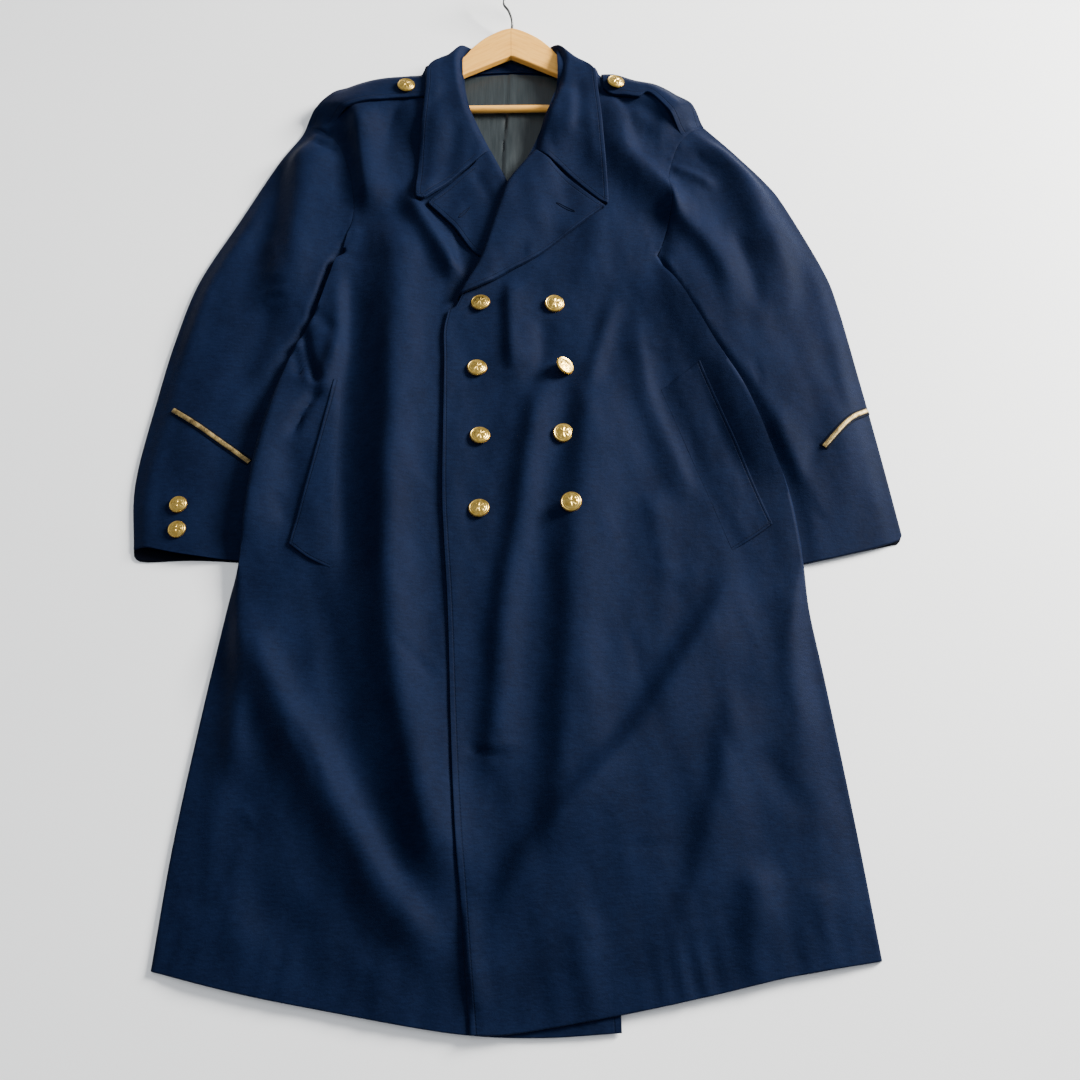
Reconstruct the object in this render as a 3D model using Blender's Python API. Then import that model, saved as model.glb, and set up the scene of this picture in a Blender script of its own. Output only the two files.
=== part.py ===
"""Double-breasted military-style coat, lying flat on its back over a wooden hanger.

The coat is seen from above: +X to the viewer's right, +Y towards the collar, +Z up, with the
origin on the floor under the centre of the back. Every piece of cloth is a thin wall whose
outline comes from named curves and whose height comes from a loft, a table of folds and the
pieces that it lies on. Tables are in millimetres; meshes are made in metres.
"""
import math

import bmesh
import bpy
import numpy as np
from mathutils import Matrix, Vector
from mathutils.bvhtree import BVHTree

MM = 0.001

# Cloth and clearances
WOOL = 2.0              # wall of the coat's wool
WELT_WALL = 1.6         # wall of welts and straps, where they lie on a panel
SATIN = 1.0             # wall of the lining
SEAM = 0.3              # gap between pieces that are sewn together
LAYER = 0.4             # least gap between a piece and what it lies on
SIDE_EASE = 42.0        # width over which a panel rises from its folded side
HEM_EASE = 90.0         # length over which the skirt settles towards its hem
SLEEVE_EASE = 26.0      # width over which a sleeve rises from its folded edges
SLEEVE_PRESSED = 15.0   # width of sleeve that the body's side presses flat beside itself
BODY_LOFT = 6.5         # mean height of the fronts above what they lie on
SLEEVE_LOFT = 8.5       # mean height of the sleeves
SLEEVE_REST = 2 * WOOL + SEAM

# Buttons
FRONT_BUTTON = 23.5
STRAP_BUTTON = 22.5
CUFF_BUTTON = 20.0
BUTTON_SEGMENTS = 12

# Hanger
HANGER_LOW = 7.0        # underside of the arms above the floor
HANGER_THICK = 14.0
BAR_DIAMETER = 12.5
BAR_Y = 494.0
BAR_HALF = 131.0
WIRE_DIAMETER = 3.4

# Outline curves, (x, y)
SHOULDER_L = ((-267, 472), (-250, 493), (-220, 518), (-180, 538), (-139, 550), (-106, 556), (-65, 590))
SHOULDER_R = ((252, 459), (238, 483), (220, 507), (195, 530), (165, 541), (139, 550), (105, 554), (61, 589))
ARMHOLE_L = ((-208, 268), (-207, 283), (-199, 323), (-202, 368), (-212, 408), (-228, 445), (-267, 472))
ARMHOLE_R = ((180, 260), (190, 288), (200, 328), (199, 368), (207, 408), (221, 437), (252, 459))
SIDE_L = ((-343, -555), (-336, -439), (-322, -309), (-308, -198), (-300, -140), (-296, -29),
          (-283, 51), (-262, 126), (-240, 176), (-220, 251), (-208, 268))
SIDE_R = ((345, -556), (336, -429), (324, -289), (316, -206), (315, -140), (308, -62),
          (290, -4), (270, 61), (240, 129), (205, 206), (190, 236), (180, 260))
HEM_UNDER = ((-343, -555), (-261, -575), (-180, -591), (-60, -612), (20, -617), (97, -614))
HEM_OVER = ((-43, -614), (0, -613), (97, -599), (180, -584), (260, -568), (345, -556))
HEM_BACK = ((-343, -555), (-220, -576), (-60, -598), (60, -598), (220, -575), (345, -556))
EDGE_OVER = ((-43, -614), (-52, -501), (-61, -371), (-68, -172), (-74, -131), (-77, -52),
             (-76, 98), (-77, 148), (-72, 178))
ROLL_OVER = ((-72, 178), (-62, 201), (-35, 270), (-3, 362), (33, 444), (55, 504), (61, 540), (61, 589))
EDGE_UNDER = ((97, -614), (94, -371), (90, -131), (86, 178))
ROLL_UNDER = ((86, 178), (40, 270), (-3, 358), (-32, 414), (-55, 494), (-63, 541), (-65, 590))
NECK_BACK = ((-65, 590), (-40, 578), (0, 572), (38, 578), (61, 589))

# Sleeves: (x, y) along the outer fold from cuff to shoulder, and along the hidden inner fold
SLEEVE_OUT_L = ((-417, -124), (-426, -41), (-414, 74), (-403, 150), (-384, 233), (-343, 326),
                (-303, 416), (-273, 463), (-267, 472))
SLEEVE_OUT_R = ((428, -119), (418, -17), (407, 83), (395, 184), (383, 240), (343, 339),
                (305, 405), (269, 452), (252, 459))
SLEEVE_IN_L = ((-252, -144), (-240, -40), (-222, 80), (-206, 190), (-208, 268))
SLEEVE_IN_R = ((265, -156), (256, -60), (232, 60), (192, 170), (180, 260))
CUFF_TOP_L = ((-417, -124), (-401, -123), (-351, -131), (-252, -137))
CUFF_UNDER_L = ((-417, -124), (-414, -134), (-400, -138), (-344, -137), (-252, -144))
CUFF_TOP_R = ((428, -119), (419, -127), (381, -138), (319, -151), (265, -156))
CUFF_UNDER_R = ((428, -119), (423, -128), (414, -130), (381, -137), (319, -149), (265, -156))

# Folds: name, start, middle, end, half width, height (a trough where negative)
BODY_FOLDS = (
    ("armhole_trough_l", (-205, 490), (-196, 410), (-198, 300), 13, -5.0),
    ("chest_ridge_l", (-172, 500), (-168, 400), (-160, 290), 17, 6.0),
    ("collar_shade_l", (-128, 500), (-128, 400), (-98, 280), 14, -4.5),
    ("chest_roll_l", (-150, 420), (-128, 340), (-98, 225), 16, 4.0),
    ("long_ridge_l", (-105, 250), (-118, 0), (-100, -330), 30, 5.5),
    ("long_trough_l", (-165, 240), (-178, 20), (-165, -190), 26, -5.0),
    ("skirt_trough_l", (-150, -200), (-118, -360), (-62, -540), 26, -5.5),
    ("side_ridge_l", (-205, 250), (-262, 60), (-266, -130), 14, 4.5),
    ("diagonal_ridge_l", (-258, -170), (-200, -330), (-72, -555), 19, 8.0),
    ("diagonal_trough_l", (-288, -265), (-205, -372), (-98, -552), 15, -5.5),
    ("hem_ridge_l", (-292, -430), (-262, -500), (-250, -572), 20, 4.0),
    ("waist_crease_l", (-246, 150), (-238, 100), (-222, 62), 8, 3.5),
    ("hip_crease_l", (-216, 70), (-240, 35), (-256, -8), 8, 3.5),
    ("armhole_ridge_r", (152, 500), (152, 400), (192, 352), 14, 6.5),
    ("underarm_ridge_r", (190, 355), (205, 290), (172, 210), 14, 4.5),
    ("chest_shade_r", (138, 400), (150, 350), (120, 290), 22, -4.0),
    ("waist_trough_r", (180, 190), (174, 60), (212, -80), 14, -4.5),
    ("waist_ridge_r", (176, 200), (152, 60), (140, -200), 17, 5.5),
    ("lap_trough_r", (20, 150), (22, 60), (-20, -60), 14, -3.5),
    ("lap_ridge_r", (-35, 160), (-32, 0), (-38, -140), 16, 3.0),
    ("lap_trough_low", (-26, -120), (-32, -230), (-30, -340), 12, -3.5),
    ("skirt_trough_mid", (48, -120), (44, -230), (30, -345), 18, -4.0),
    ("skirt_ridge_mid", (92, -90), (88, -220), (70, -330), 20, 4.0),
    ("diagonal_trough_r", (225, -175), (130, -320), (-12, -482), 22, -7.5),
    ("diagonal_ridge_r", (262, -190), (190, -330), (40, -500), 26, 5.5),
    ("side_trough_r", (292, -200), (290, -290), (262, -370), 14, -5.0),
    ("hem_ridge_r", (250, -380), (215, -480), (205, -590), 28, 4.5),
    ("hem_trough_r", (140, -460), (128, -530), (122, -600), 22, -3.0),
    ("hem_ridge_mid", (60, -500), (66, -560), (70, -606), 20, 3.0),
)
SLEEVE_FOLDS = (
    ("head_trough_l", (-232, 420), (-232, 350), (-226, 290), 13, -4.5),
    ("head_ridge_l", (-262, 440), (-262, 360), (-248, 260), 15, 4.5),
    ("upper_ridge_l", (-300, 380), (-332, 290), (-345, 190), 18, 4.0),
    ("upper_trough_l", (-275, 330), (-296, 240), (-312, 150), 15, -4.0),
    ("elbow_ridge_l", (-268, 200), (-300, 110), (-352, 40), 15, 4.5),
    ("elbow_trough_l", (-300, 60), (-340, 10), (-392, -20), 13, -3.5),
    ("cuff_ridge_l", (-318, -20), (-330, -70), (-338, -130), 16, 3.0),
    ("head_trough_r", (213, 417), (285, 352), (308, 236), 13, -6.0),
    ("inner_trough_r", (230, 320), (284, 235), (313, 113), 13, -5.0),
    ("head_ridge_r", (238, 432), (300, 370), (338, 282), 14, 5.0),
    ("band_ridge_r", (222, 370), (262, 290), (300, 195), 12, 5.0),
    ("elbow_ridge_r", (262, 212), (290, 130), (306, 60), 13, 5.0),
    ("elbow_trough_r", (330, 150), (352, 60), (345, -20), 16, -3.5),
    ("outer_ridge_r", (368, 240), (384, 120), (386, 10), 14, 3.0),
    ("cuff_ridge_r", (372, -30), (366, -80), (352, -140), 15, 3.0),
)
HANGER_LINES = (((-60, 560), (-139, 515), (-200, 490)), ((60, 560), (139, 515), (196, 488)),
                ((-131, 494), (131, 494)))
HANGER_SWELL = 16.0     # height that the hanger's arms and bar give to the shoulders
HANGER_REACH = 36.0

# Wool shades, linear RGB
NAVY = (0.012, 0.019, 0.060)
NAVY_DARK = (0.008, 0.013, 0.045)
SATIN_OLIVE = (0.030, 0.034, 0.030)
GILT = (0.80, 0.56, 0.18)
BRAID_GOLD = (0.34, 0.24, 0.09)
MAPLE = (0.72, 0.47, 0.22)
STEEL = (0.45, 0.44, 0.43)


# ---------------------------------------------------------------- curves and patches

def smooth_line(points, per_span=8):
    """A Catmull-Rom curve through the points, as a fine polyline."""
    p = np.array(points, float)
    p = np.vstack([2 * p[0] - p[1], p, 2 * p[-1] - p[-2]])
    t = np.linspace(0, 1, per_span, endpoint=False)[:, None]
    spans = []
    for i in range(1, len(p) - 2):
        a, b, c, d = p[i - 1], p[i], p[i + 1], p[i + 2]
        spans.append(0.5 * (2 * b + (c - a) * t + (2 * a - 5 * b + 4 * c - d) * t ** 2
                            + (3 * b - a - 3 * c + d) * t ** 3))
    return np.vstack(spans + [p[-2][None]])


def resample(line, count):
    """The polyline as count points, evenly spaced along it."""
    steps = np.linalg.norm(np.diff(line, axis=0), axis=1)
    along = np.concatenate([[0], np.cumsum(steps)])
    wanted = np.linspace(0, along[-1], count)
    return np.stack([np.interp(wanted, along, line[:, k]) for k in range(2)], axis=1)


def curve(points, count):
    return resample(smooth_line(points), count)


def shifted(line, offset):
    """The line moved sideways by offset, to its left where positive."""
    tangent = np.gradient(line, axis=0)
    tangent /= np.linalg.norm(tangent, axis=1)[:, None]
    return line + offset * np.stack([-tangent[:, 1], tangent[:, 0]], axis=1)


def chain(*lines):
    """Lines joined end to end, each shared point kept once."""
    return np.vstack([lines[0]] + [line[1:] for line in lines[1:]])


def patch(bottom, top, left, right):
    """Grid of points between four edge curves; bottom and top run left to right, sides run up."""
    u = np.linspace(0, 1, len(bottom))[None, :, None]
    v = np.linspace(0, 1, len(left))[:, None, None]
    left, right = left[:, None], right[:, None]
    bottom, top = bottom[None], top[None]
    corners = ((1 - u) * (1 - v) * bottom[:, :1] + u * (1 - v) * bottom[:, -1:]
               + (1 - u) * v * top[:, :1] + u * v * top[:, -1:])
    return (1 - v) * bottom + v * top + (1 - u) * left + u * right - corners


def ease(value):
    """0 to 1 with soft ends."""
    value = np.clip(value, 0, 1)
    return value * value * (3 - 2 * value)


def nearest_on(points, line):
    """Distance to a polyline, and how far along it the nearest place lies, 0 to 1."""
    start, step = line[:-1], np.diff(line, axis=0)
    away = points[..., None, :] - start
    along = np.clip((away * step).sum(-1) / (step * step).sum(-1), 0, 1)
    gap = np.linalg.norm(away - along[..., None] * step, axis=-1)
    best = gap.argmin(-1)[..., None]
    distance = np.take_along_axis(gap, best, -1)[..., 0]
    place = (best[..., 0] + np.take_along_axis(along, best, -1)[..., 0]) / len(step)
    return distance, place


def fold_height(points, folds):
    """Sum of the folds' soft ridges and troughs."""
    height = np.zeros(points.shape[:-1])
    for name, start, middle, end, half_width, rise in folds:
        distance, place = nearest_on(points, smooth_line((start, middle, end), 5))
        fade = ease(4.5 * place) * ease(4.5 * (1 - place))
        height += rise * fade * np.exp(-(distance / half_width) ** 2)
    return height


def hanger_swell(points):
    """How much the hanger's arms lift the cloth of the shoulders."""
    height = np.zeros(points.shape[:-1])
    for line in HANGER_LINES:
        distance, place = nearest_on(points, np.array(line, float))
        height = np.maximum(height, HANGER_SWELL * np.exp(-(distance / HANGER_REACH) ** 2))
    return height


# ---------------------------------------------------------------- lying on what is below

class Stack:
    """The pieces built so far, asked for the height of their upper faces."""

    def __init__(self):
        self.trees = {}

    def add(self, piece):
        mesh = piece.data
        points = [piece.matrix_world @ v.co / MM for v in mesh.vertices]
        faces = [tuple(f.vertices) for f in mesh.polygons]
        self.trees[piece.name] = BVHTree.FromPolygons(points, faces)

    def height(self, x, y, names):
        top = 0.0
        for name in names:
            hit = self.trees[name].ray_cast(Vector((x, y, 300.0)), Vector((0, 0, -1)))[0]
            if hit is not None:
                top = max(top, hit.z)
        return top

    def under(self, grid, names, reach):
        """Highest place of the named pieces within reach of each grid point."""
        turns = np.arange(8) * math.pi / 4
        around = [(0, 0)] + [(k * math.cos(a), k * math.sin(a)) for k in (0.5, 1.0) for a in turns]
        result = np.zeros(grid.shape[:2])
        for index in np.ndindex(*grid.shape[:2]):
            x, y = grid[index]
            result[index] = max(self.height(x + reach * i, y + reach * j, names) for i, j in around)
        return result


STACK = Stack()


def spread(lift, decay, passes=40):
    """Soft slopes around the places where a piece is lifted."""
    result = lift.copy()
    for _ in range(passes):
        padded = np.pad(result, 1, mode="edge")
        mean = (padded[:-2, 1:-1] + padded[2:, 1:-1] + padded[1:-1, :-2] + padded[1:-1, 2:]) / 4
        result = np.maximum(lift, mean * decay)
    return result


def rest(grid, shape, wall, names, reach=5.0, keep=None, decay=0.97, gap=LAYER, limit=math.inf):
    """Upper face of a piece that has the given shape but lies on the named pieces."""
    below = np.minimum(STACK.under(grid, names, reach), limit)
    if keep is not None:
        below = np.where(keep, below, 0.0)
    least = np.where(below > 0, below + gap, 0.0) + wall
    return shape + spread(np.maximum(0, least - shape), decay)


# ---------------------------------------------------------------- meshes

def material(name, colour, roughness, metallic=0.0):
    made = bpy.data.materials.new(name)
    made.use_nodes = True
    shader = made.node_tree.nodes["Principled BSDF"]
    shader.inputs["Base Color"].default_value = (*colour, 1.0)
    shader.inputs["Roughness"].default_value = roughness
    shader.inputs["Metallic"].default_value = metallic
    return made


def to_object(name, form, colour, roughness=0.9, metallic=0.0, round_angle=40):
    bmesh.ops.recalc_face_normals(form, faces=form.faces)
    mesh = bpy.data.meshes.new(name)
    form.to_mesh(mesh)
    form.free()
    mesh.shade_smooth()
    mesh.set_sharp_from_angle(angle=math.radians(round_angle))
    mesh.materials.append(material(name, colour, roughness, metallic))
    piece = bpy.data.objects.new(name, mesh)
    bpy.context.scene.collection.objects.link(piece)
    STACK.add(piece)
    return piece


def wall_object(name, grid, top, wall, colour, roughness=0.9):
    """Closed sheet: the grid at height top, the same grid one wall lower, and its four edges."""
    rows, columns = top.shape
    form = bmesh.new()
    layers = []
    for drop in (0.0, wall):
        layer = [[form.verts.new((grid[r, c, 0] * MM, grid[r, c, 1] * MM, (top[r, c] - drop) * MM))
                  for c in range(columns)] for r in range(rows)]
        layers.append(layer)
    upper, lower = layers
    for r in range(rows - 1):
        for c in range(columns - 1):
            form.faces.new((upper[r][c], upper[r][c + 1], upper[r + 1][c + 1], upper[r + 1][c]))
            form.faces.new((lower[r + 1][c], lower[r + 1][c + 1], lower[r][c + 1], lower[r][c]))
    rim = [(0, c) for c in range(columns)] + [(r, columns - 1) for r in range(1, rows)]
    rim += [(rows - 1, c) for c in range(columns - 2, -1, -1)] + [(r, 0) for r in range(rows - 2, 0, -1)]
    for (r, c), (s, d) in zip(rim, rim[1:] + rim[:1]):
        form.faces.new((upper[r][c], lower[r][c], lower[s][d], upper[s][d]))
    bmesh.ops.triangulate(form, faces=[f for f in form.faces], quad_method="SHORT_EDGE")
    return to_object(name, form, colour, roughness)


# ---------------------------------------------------------------- sleeves

ARMHOLE_HIGH = 6        # points on the sleeve head, from the shoulder to the front of the armhole
ARMHOLE_LOW = 8         # points from there down to the underarm
SLEEVE_ROWS = 22        # points along the sleeve below the underarm


def armhole(points):
    """The armhole seam from the underarm up, as its low and its high stretch."""
    line = curve(points, ARMHOLE_LOW + ARMHOLE_HIGH - 1)
    return line[:ARMHOLE_LOW], line[ARMHOLE_LOW - 1:]


def sleeve_height(points, side, outer, cuff_drop):
    """Upper face of a top sleeve: low along its folded edges and under the body's side."""
    to_side, _ = nearest_on(points, smooth_line(side))
    to_outer, _ = nearest_on(points, smooth_line(outer))
    sign = 1 if side[0][0] > 0 else -1
    edge_x = np.interp(points[..., 1], [p[1] for p in side], [p[0] for p in side])
    below_arm = points[..., 1] < side[-1][1]
    hidden = below_arm & (sign * points[..., 0] < sign * edge_x)
    free = np.where(hidden, 0.0, ease((to_side - SLEEVE_PRESSED) / SLEEVE_EASE))
    loft = SLEEVE_LOFT + fold_height(points, SLEEVE_FOLDS) + hanger_swell(points)
    cuff = ease((points[..., 1] + cuff_drop) / 45.0)
    return SLEEVE_REST + np.maximum(loft, 1.0) * free * ease(to_outer / SLEEVE_EASE) * (0.45 + 0.55 * cuff)


def sleeve_grid(seam, outer, inner, cuff, columns, rows, sign):
    """Points of one sleeve panel; sign is +1 on the viewer's right."""
    low, high = armhole(seam)
    low, high = shifted(low, -sign * SEAM / 2), shifted(high, -sign * SEAM / 2)
    inside = chain(curve(inner, rows), low)
    outside = curve(outer, len(inside))
    outside[-1] = high[-1]
    inside[0], outside[0] = cuff[-1], cuff[0]
    head = resample(high, columns)[::-1] if columns != len(high) else high[::-1]
    return patch(curve(cuff, columns), head, outside, inside)


def make_sleeves():
    sides = (("left", -1, ARMHOLE_L, SIDE_L, SLEEVE_OUT_L, SLEEVE_IN_L, CUFF_TOP_L, CUFF_UNDER_L),
             ("right", 1, ARMHOLE_R, SIDE_R, SLEEVE_OUT_R, SLEEVE_IN_R, CUFF_TOP_R, CUFF_UNDER_R))
    for name, sign, seam, side, outer, inner, cuff_top, cuff_under in sides:
        grid = sleeve_grid(seam, outer, inner, cuff_under, ARMHOLE_HIGH, 12, sign)
        flat = np.full(grid.shape[:2], WOOL)
        wall_object(f"under_sleeve_{name}", grid, flat, WOOL, NAVY_DARK)
        grid = sleeve_grid(seam, outer, inner, cuff_top, 12, SLEEVE_ROWS, sign)
        height = sleeve_height(grid, side, outer, -min(p[1] for p in cuff_top) + 4)
        height = rest(grid, height, WOOL, [f"under_sleeve_{name}"], gap=SEAM)
        wall_object(f"top_sleeve_{name}", grid, height, WOOL, NAVY)


# ---------------------------------------------------------------- body

SKIRT_ROWS = 27         # rows of a front from the hem to the underarm
CHEST_ROWS = ARMHOLE_LOW + ARMHOLE_HIGH - 1
FRONT_COLUMNS = 18


def body_height(points, sides, hem):
    """Upper face of the fronts: folds on a soft loft that sinks towards the sides and the hem."""
    to_side = np.full(points.shape[:-1], 1e3)
    for side in sides:
        to_side = np.minimum(to_side, nearest_on(points, smooth_line(side))[0])
    to_hem, _ = nearest_on(points, smooth_line(hem))
    loft = BODY_LOFT + fold_height(points, BODY_FOLDS) + hanger_swell(points)
    settled = 0.35 + 0.65 * ease(to_hem / HEM_EASE)
    return 2 * WOOL + SEAM + np.maximum(loft, 0.3) * ease(to_side / SIDE_EASE) * settled


def make_back():
    """The whole back, flat on the floor, lifted where the sleeves and the collar pass under it."""
    rows = 18
    left = chain(curve(SIDE_L, rows), shifted(curve(ARMHOLE_L, CHEST_ROWS), -SEAM / 2))
    right = chain(curve(SIDE_R, rows), shifted(curve(ARMHOLE_R, CHEST_ROWS), SEAM / 2))
    top = curve(SHOULDER_L, 7)[:-1]
    top = chain(curve(SHOULDER_L, 7), curve(NECK_BACK, 5), curve(SHOULDER_R[::-1], 7))
    top = top + np.array((0.0, -2.0))
    top[0], top[-1] = left[-1], right[-1]
    grid = patch(curve(HEM_BACK, len(top)), top, left, right)
    below_arm = grid[..., 1] < 274
    near_collar = grid[..., 1] > 400
    flat = np.full(grid.shape[:2], WOOL)
    names = ["top_sleeve_left", "top_sleeve_right"]
    over_sleeves = rest(grid, flat, WOOL, names, reach=36.0, keep=below_arm, decay=0.7, limit=SLEEVE_REST)
    over_collar = rest(grid, flat, WOOL, ["collar_back"], reach=36.0, keep=near_collar, decay=0.7)
    wall_object("back", grid, np.maximum(over_sleeves, over_collar), WOOL, NAVY_DARK)


def make_under_front():
    left = chain(curve(SIDE_L, SKIRT_ROWS), shifted(curve(ARMHOLE_L, CHEST_ROWS), -SEAM / 2))
    right = chain(curve(EDGE_UNDER, SKIRT_ROWS + 2), curve(ROLL_UNDER, CHEST_ROWS - 2))
    top = curve(SHOULDER_L, FRONT_COLUMNS)
    top[0] = left[-1]
    grid = patch(curve(HEM_UNDER, FRONT_COLUMNS), top, left, right)
    height = body_height(grid, (SIDE_L,), HEM_UNDER)
    lap, _ = nearest_on(grid, chain(smooth_line(EDGE_OVER), smooth_line(ROLL_OVER)))
    edge_x = np.interp(grid[..., 1], [p[1] for p in EDGE_OVER], [p[0] for p in EDGE_OVER])
    covered = ease((grid[..., 0] - edge_x + 6) / 14.0)
    height = np.maximum(height - covered * (WOOL + LAYER + 1.2), 2 * WOOL + LAYER)
    names = ["back", "lining", "hanger", "hanger_bar"]
    height = rest(grid, height, WOOL, names, reach=18.0)
    wall_object("under_front", grid, height, WOOL, NAVY)


def make_over_front():
    right = chain(curve(SIDE_R, SKIRT_ROWS), shifted(curve(ARMHOLE_R, CHEST_ROWS), SEAM / 2))
    left = chain(curve(EDGE_OVER, SKIRT_ROWS - 1), curve(ROLL_OVER, CHEST_ROWS + 1))
    top = curve(SHOULDER_R[::-1], FRONT_COLUMNS)
    top[-1] = right[-1]
    grid = patch(curve(HEM_OVER, FRONT_COLUMNS), top, left, right)
    height = body_height(grid, (SIDE_R,), HEM_OVER)
    names = ["back", "lining", "hanger", "hanger_bar", "under_front", "lapel_left"]
    height = rest(grid, height, WOOL, names, reach=18.0)
    wall_object("over_front", grid, height, WOOL, NAVY)


# ---------------------------------------------------------------- neck, collar and lapels

def quad_patch(corners_low, corners_high, columns, rows):
    """Patch between a lower and an upper curve, with straight sides."""
    bottom, top = curve(corners_low, columns), curve(corners_high, columns)
    left = np.linspace(bottom[0], top[0], rows)
    right = np.linspace(bottom[-1], top[-1], rows)
    return patch(bottom, top, left, right)


COLLAR_BACK_LOW = ((-112, 520), (-60, 512), (0, 510), (60, 512), (112, 518))
COLLAR_BACK_HIGH = ((-108, 549), (-64, 592), (0, 598), (60, 591), (108, 547))
NECK_BAND_LOW = ((-70, 560), (-40, 566), (0, 568), (40, 566), (66, 560))
NECK_BAND_HIGH = ((-62, 585), (-30, 592), (0, 594), (30, 592), (58, 584))
LINING_LOW = ((-112, 300), (-60, 296), (0, 294), (60, 296), (100, 300))
LINING_HIGH = ((-100, 540), (-60, 559), (0, 565), (60, 559), (96, 540))


def make_neck():
    grid = quad_patch(COLLAR_BACK_LOW, COLLAR_BACK_HIGH, 13, 5)
    wall_object("collar_back", grid, np.full(grid.shape[:2], WOOL), WOOL, NAVY_DARK)
    make_back()
    grid = quad_patch(LINING_LOW, LINING_HIGH, 12, 9)
    pleat = 1.6 * np.exp(-((grid[..., 0] + 6) / 7.0) ** 2)
    wall_object("lining", grid, rest(grid, 3.4 + pleat, SATIN, ["back"], reach=14.0), SATIN, SATIN_OLIVE, 0.45)
    grid = quad_patch(NECK_BAND_LOW, NECK_BAND_HIGH, 13, 4)
    rise = 3.0 * ease((grid[..., 1] - 566) / 25.0)
    height = rest(grid, 3.0 + rise, WOOL, ["back", "lining"], reach=4.0)
    wall_object("neck_band", grid, np.minimum(height, HANGER_LOW - 0.2), WOOL, NAVY)


def leaf(name, lower, outer, inner, columns, rows, names):
    """One front leaf of the collar, raised along its roll and lying on the lapel and the front."""
    low, out, roll = curve(lower, columns), curve(outer, rows), curve(inner, rows)
    top = np.linspace(out[-1], roll[-1], columns)
    grid = patch(low, top, out, roll)
    to_roll, _ = nearest_on(grid, smooth_line(inner))
    below = STACK.under(grid, names, 9.0)
    base = spread(below, 0.985)
    height = base + LAYER + WOOL + 4.5 * np.exp(-(to_roll / 16.0) ** 2)
    wall_object(name, grid, height, WOOL, NAVY)


def make_collar():
    names = ["back", "lining", "neck_band", "hanger", "hanger_bar", "under_front", "over_front",
             "lapel_left", "lapel_right"]
    leaf("collar_leaf_left", ((-109, 335), (-82, 365), (-55, 396), (-22, 404)),
         ((-109, 335), (-122, 345), (-120, 420), (-112, 512), (-110, 550), (-86, 575), (-67, 592)),
         ((-22, 404), (-34, 420), (-46, 449), (-56, 494), (-63, 540), (-62, 592)), 9, 15, names)
    leaf("collar_leaf_right", ((117, 331), (88, 364), (55, 398), (18, 408)),
         ((117, 331), (122, 345), (119, 440), (114, 516), (110, 548), (86, 571), (63, 591)),
         ((18, 408), (34, 444), (46, 474), (56, 504), (61, 536), (58, 591)), 9, 15, names)


def make_lapel_left():
    low = ((-105, 323), (-74, 297), (-38, 257), (0, 268))
    high = ((-108, 331), (-81, 362), (-54, 393), (-20, 398))
    grid = patch(curve(low, 9), curve(high, 9), np.linspace(low[0], high[0], 9),
                 curve(((0, 268), (12, 322), (-3, 362), (-20, 398)), 9))
    names = ["back", "lining", "hanger", "hanger_bar", "under_front"]
    wall_object("lapel_left", grid, rest(grid, np.full(grid.shape[:2], 5.0), WOOL, names), WOOL, NAVY)


def make_lapel_right():
    low = ((113, 321), (74, 297), (37, 260), (-3, 226), (-30, 207), (-62, 193))
    high = ((116, 328), (87, 361), (54, 394), (30, 404), (13, 396))
    roll = ((-62, 193), (-60, 208), (-34, 272), (-2, 362), (13, 396))
    grid = patch(curve(low, 10), curve(high, 10), np.linspace(low[0], high[0], 10), curve(roll, 10))
    names = ["under_front", "over_front", "lapel_left"]
    to_roll, _ = nearest_on(grid, smooth_line(roll))
    height = rest(grid, np.full(grid.shape[:2], 5.0), WOOL, names)
    wall_object("lapel_right", grid, height + 2.5 * np.exp(-(to_roll / 12.0) ** 2), WOOL, NAVY)


# ---------------------------------------------------------------- straps, welts and braid

def laid_strip(name, grid, names, wall, colour, lift=0.0, roughness=0.9):
    height = rest(grid, np.full(grid.shape[:2], 1.0), wall, names, reach=4.5, gap=SEAM + 0.15)
    wall_object(name, grid, height + lift, wall, colour, roughness)


def make_straps():
    names = ["under_front", "over_front", "top_sleeve_left", "top_sleeve_right", "back"]
    left = quad_patch(((-230, 468), (-218, 482), (-188, 495), (-149, 505), (-124, 511)),
                      ((-264, 472), (-249, 492), (-219, 516), (-179, 536), (-125, 549)), 15, 5)
    laid_strip("epaulette_left", left, names, WELT_WALL, NAVY)
    right = quad_patch(((125, 513), (148, 506), (180, 499), (205, 478), (220, 446)),
                       ((124, 549), (164, 539), (194, 528), (219, 504), (249, 460)), 15, 5)
    laid_strip("epaulette_right", right, names, WELT_WALL, NAVY)


def make_welts():
    left = quad_patch(((-245, -124), (-222, -141), (-199, -152)), ((-208, 84), (-204, 84), (-200, 84)), 4, 14)
    laid_strip("pocket_welt_left", left, ["under_front"], WELT_WALL, NAVY)
    right = quad_patch(((238, -138), (261, -124), (284, -108)), ((172, 66), (196, 82), (218, 99)), 5, 14)
    laid_strip("pocket_welt_right", right, ["over_front"], WELT_WALL, NAVY)


def make_braids():
    for name, line in (("left", ((-391, 46), (-345, 14), (-299, -19))),
                       ("right", ((410, 38), (384, 21), (352, -12)))):
        middle = curve(line, 9)
        grid = np.stack([shifted(middle, -4.6), middle, shifted(middle, 4.6)])
        laid_strip(f"braid_{name}", grid, [f"top_sleeve_{name}"], 1.2, BRAID_GOLD, roughness=0.6)


# ---------------------------------------------------------------- buttons

FRONT_BUTTONS = ((-38, 187), (-42, 94), (-38, 4), (-38, -87), (51, 184), (60, 97), (57, 6), (62, -82))


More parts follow.
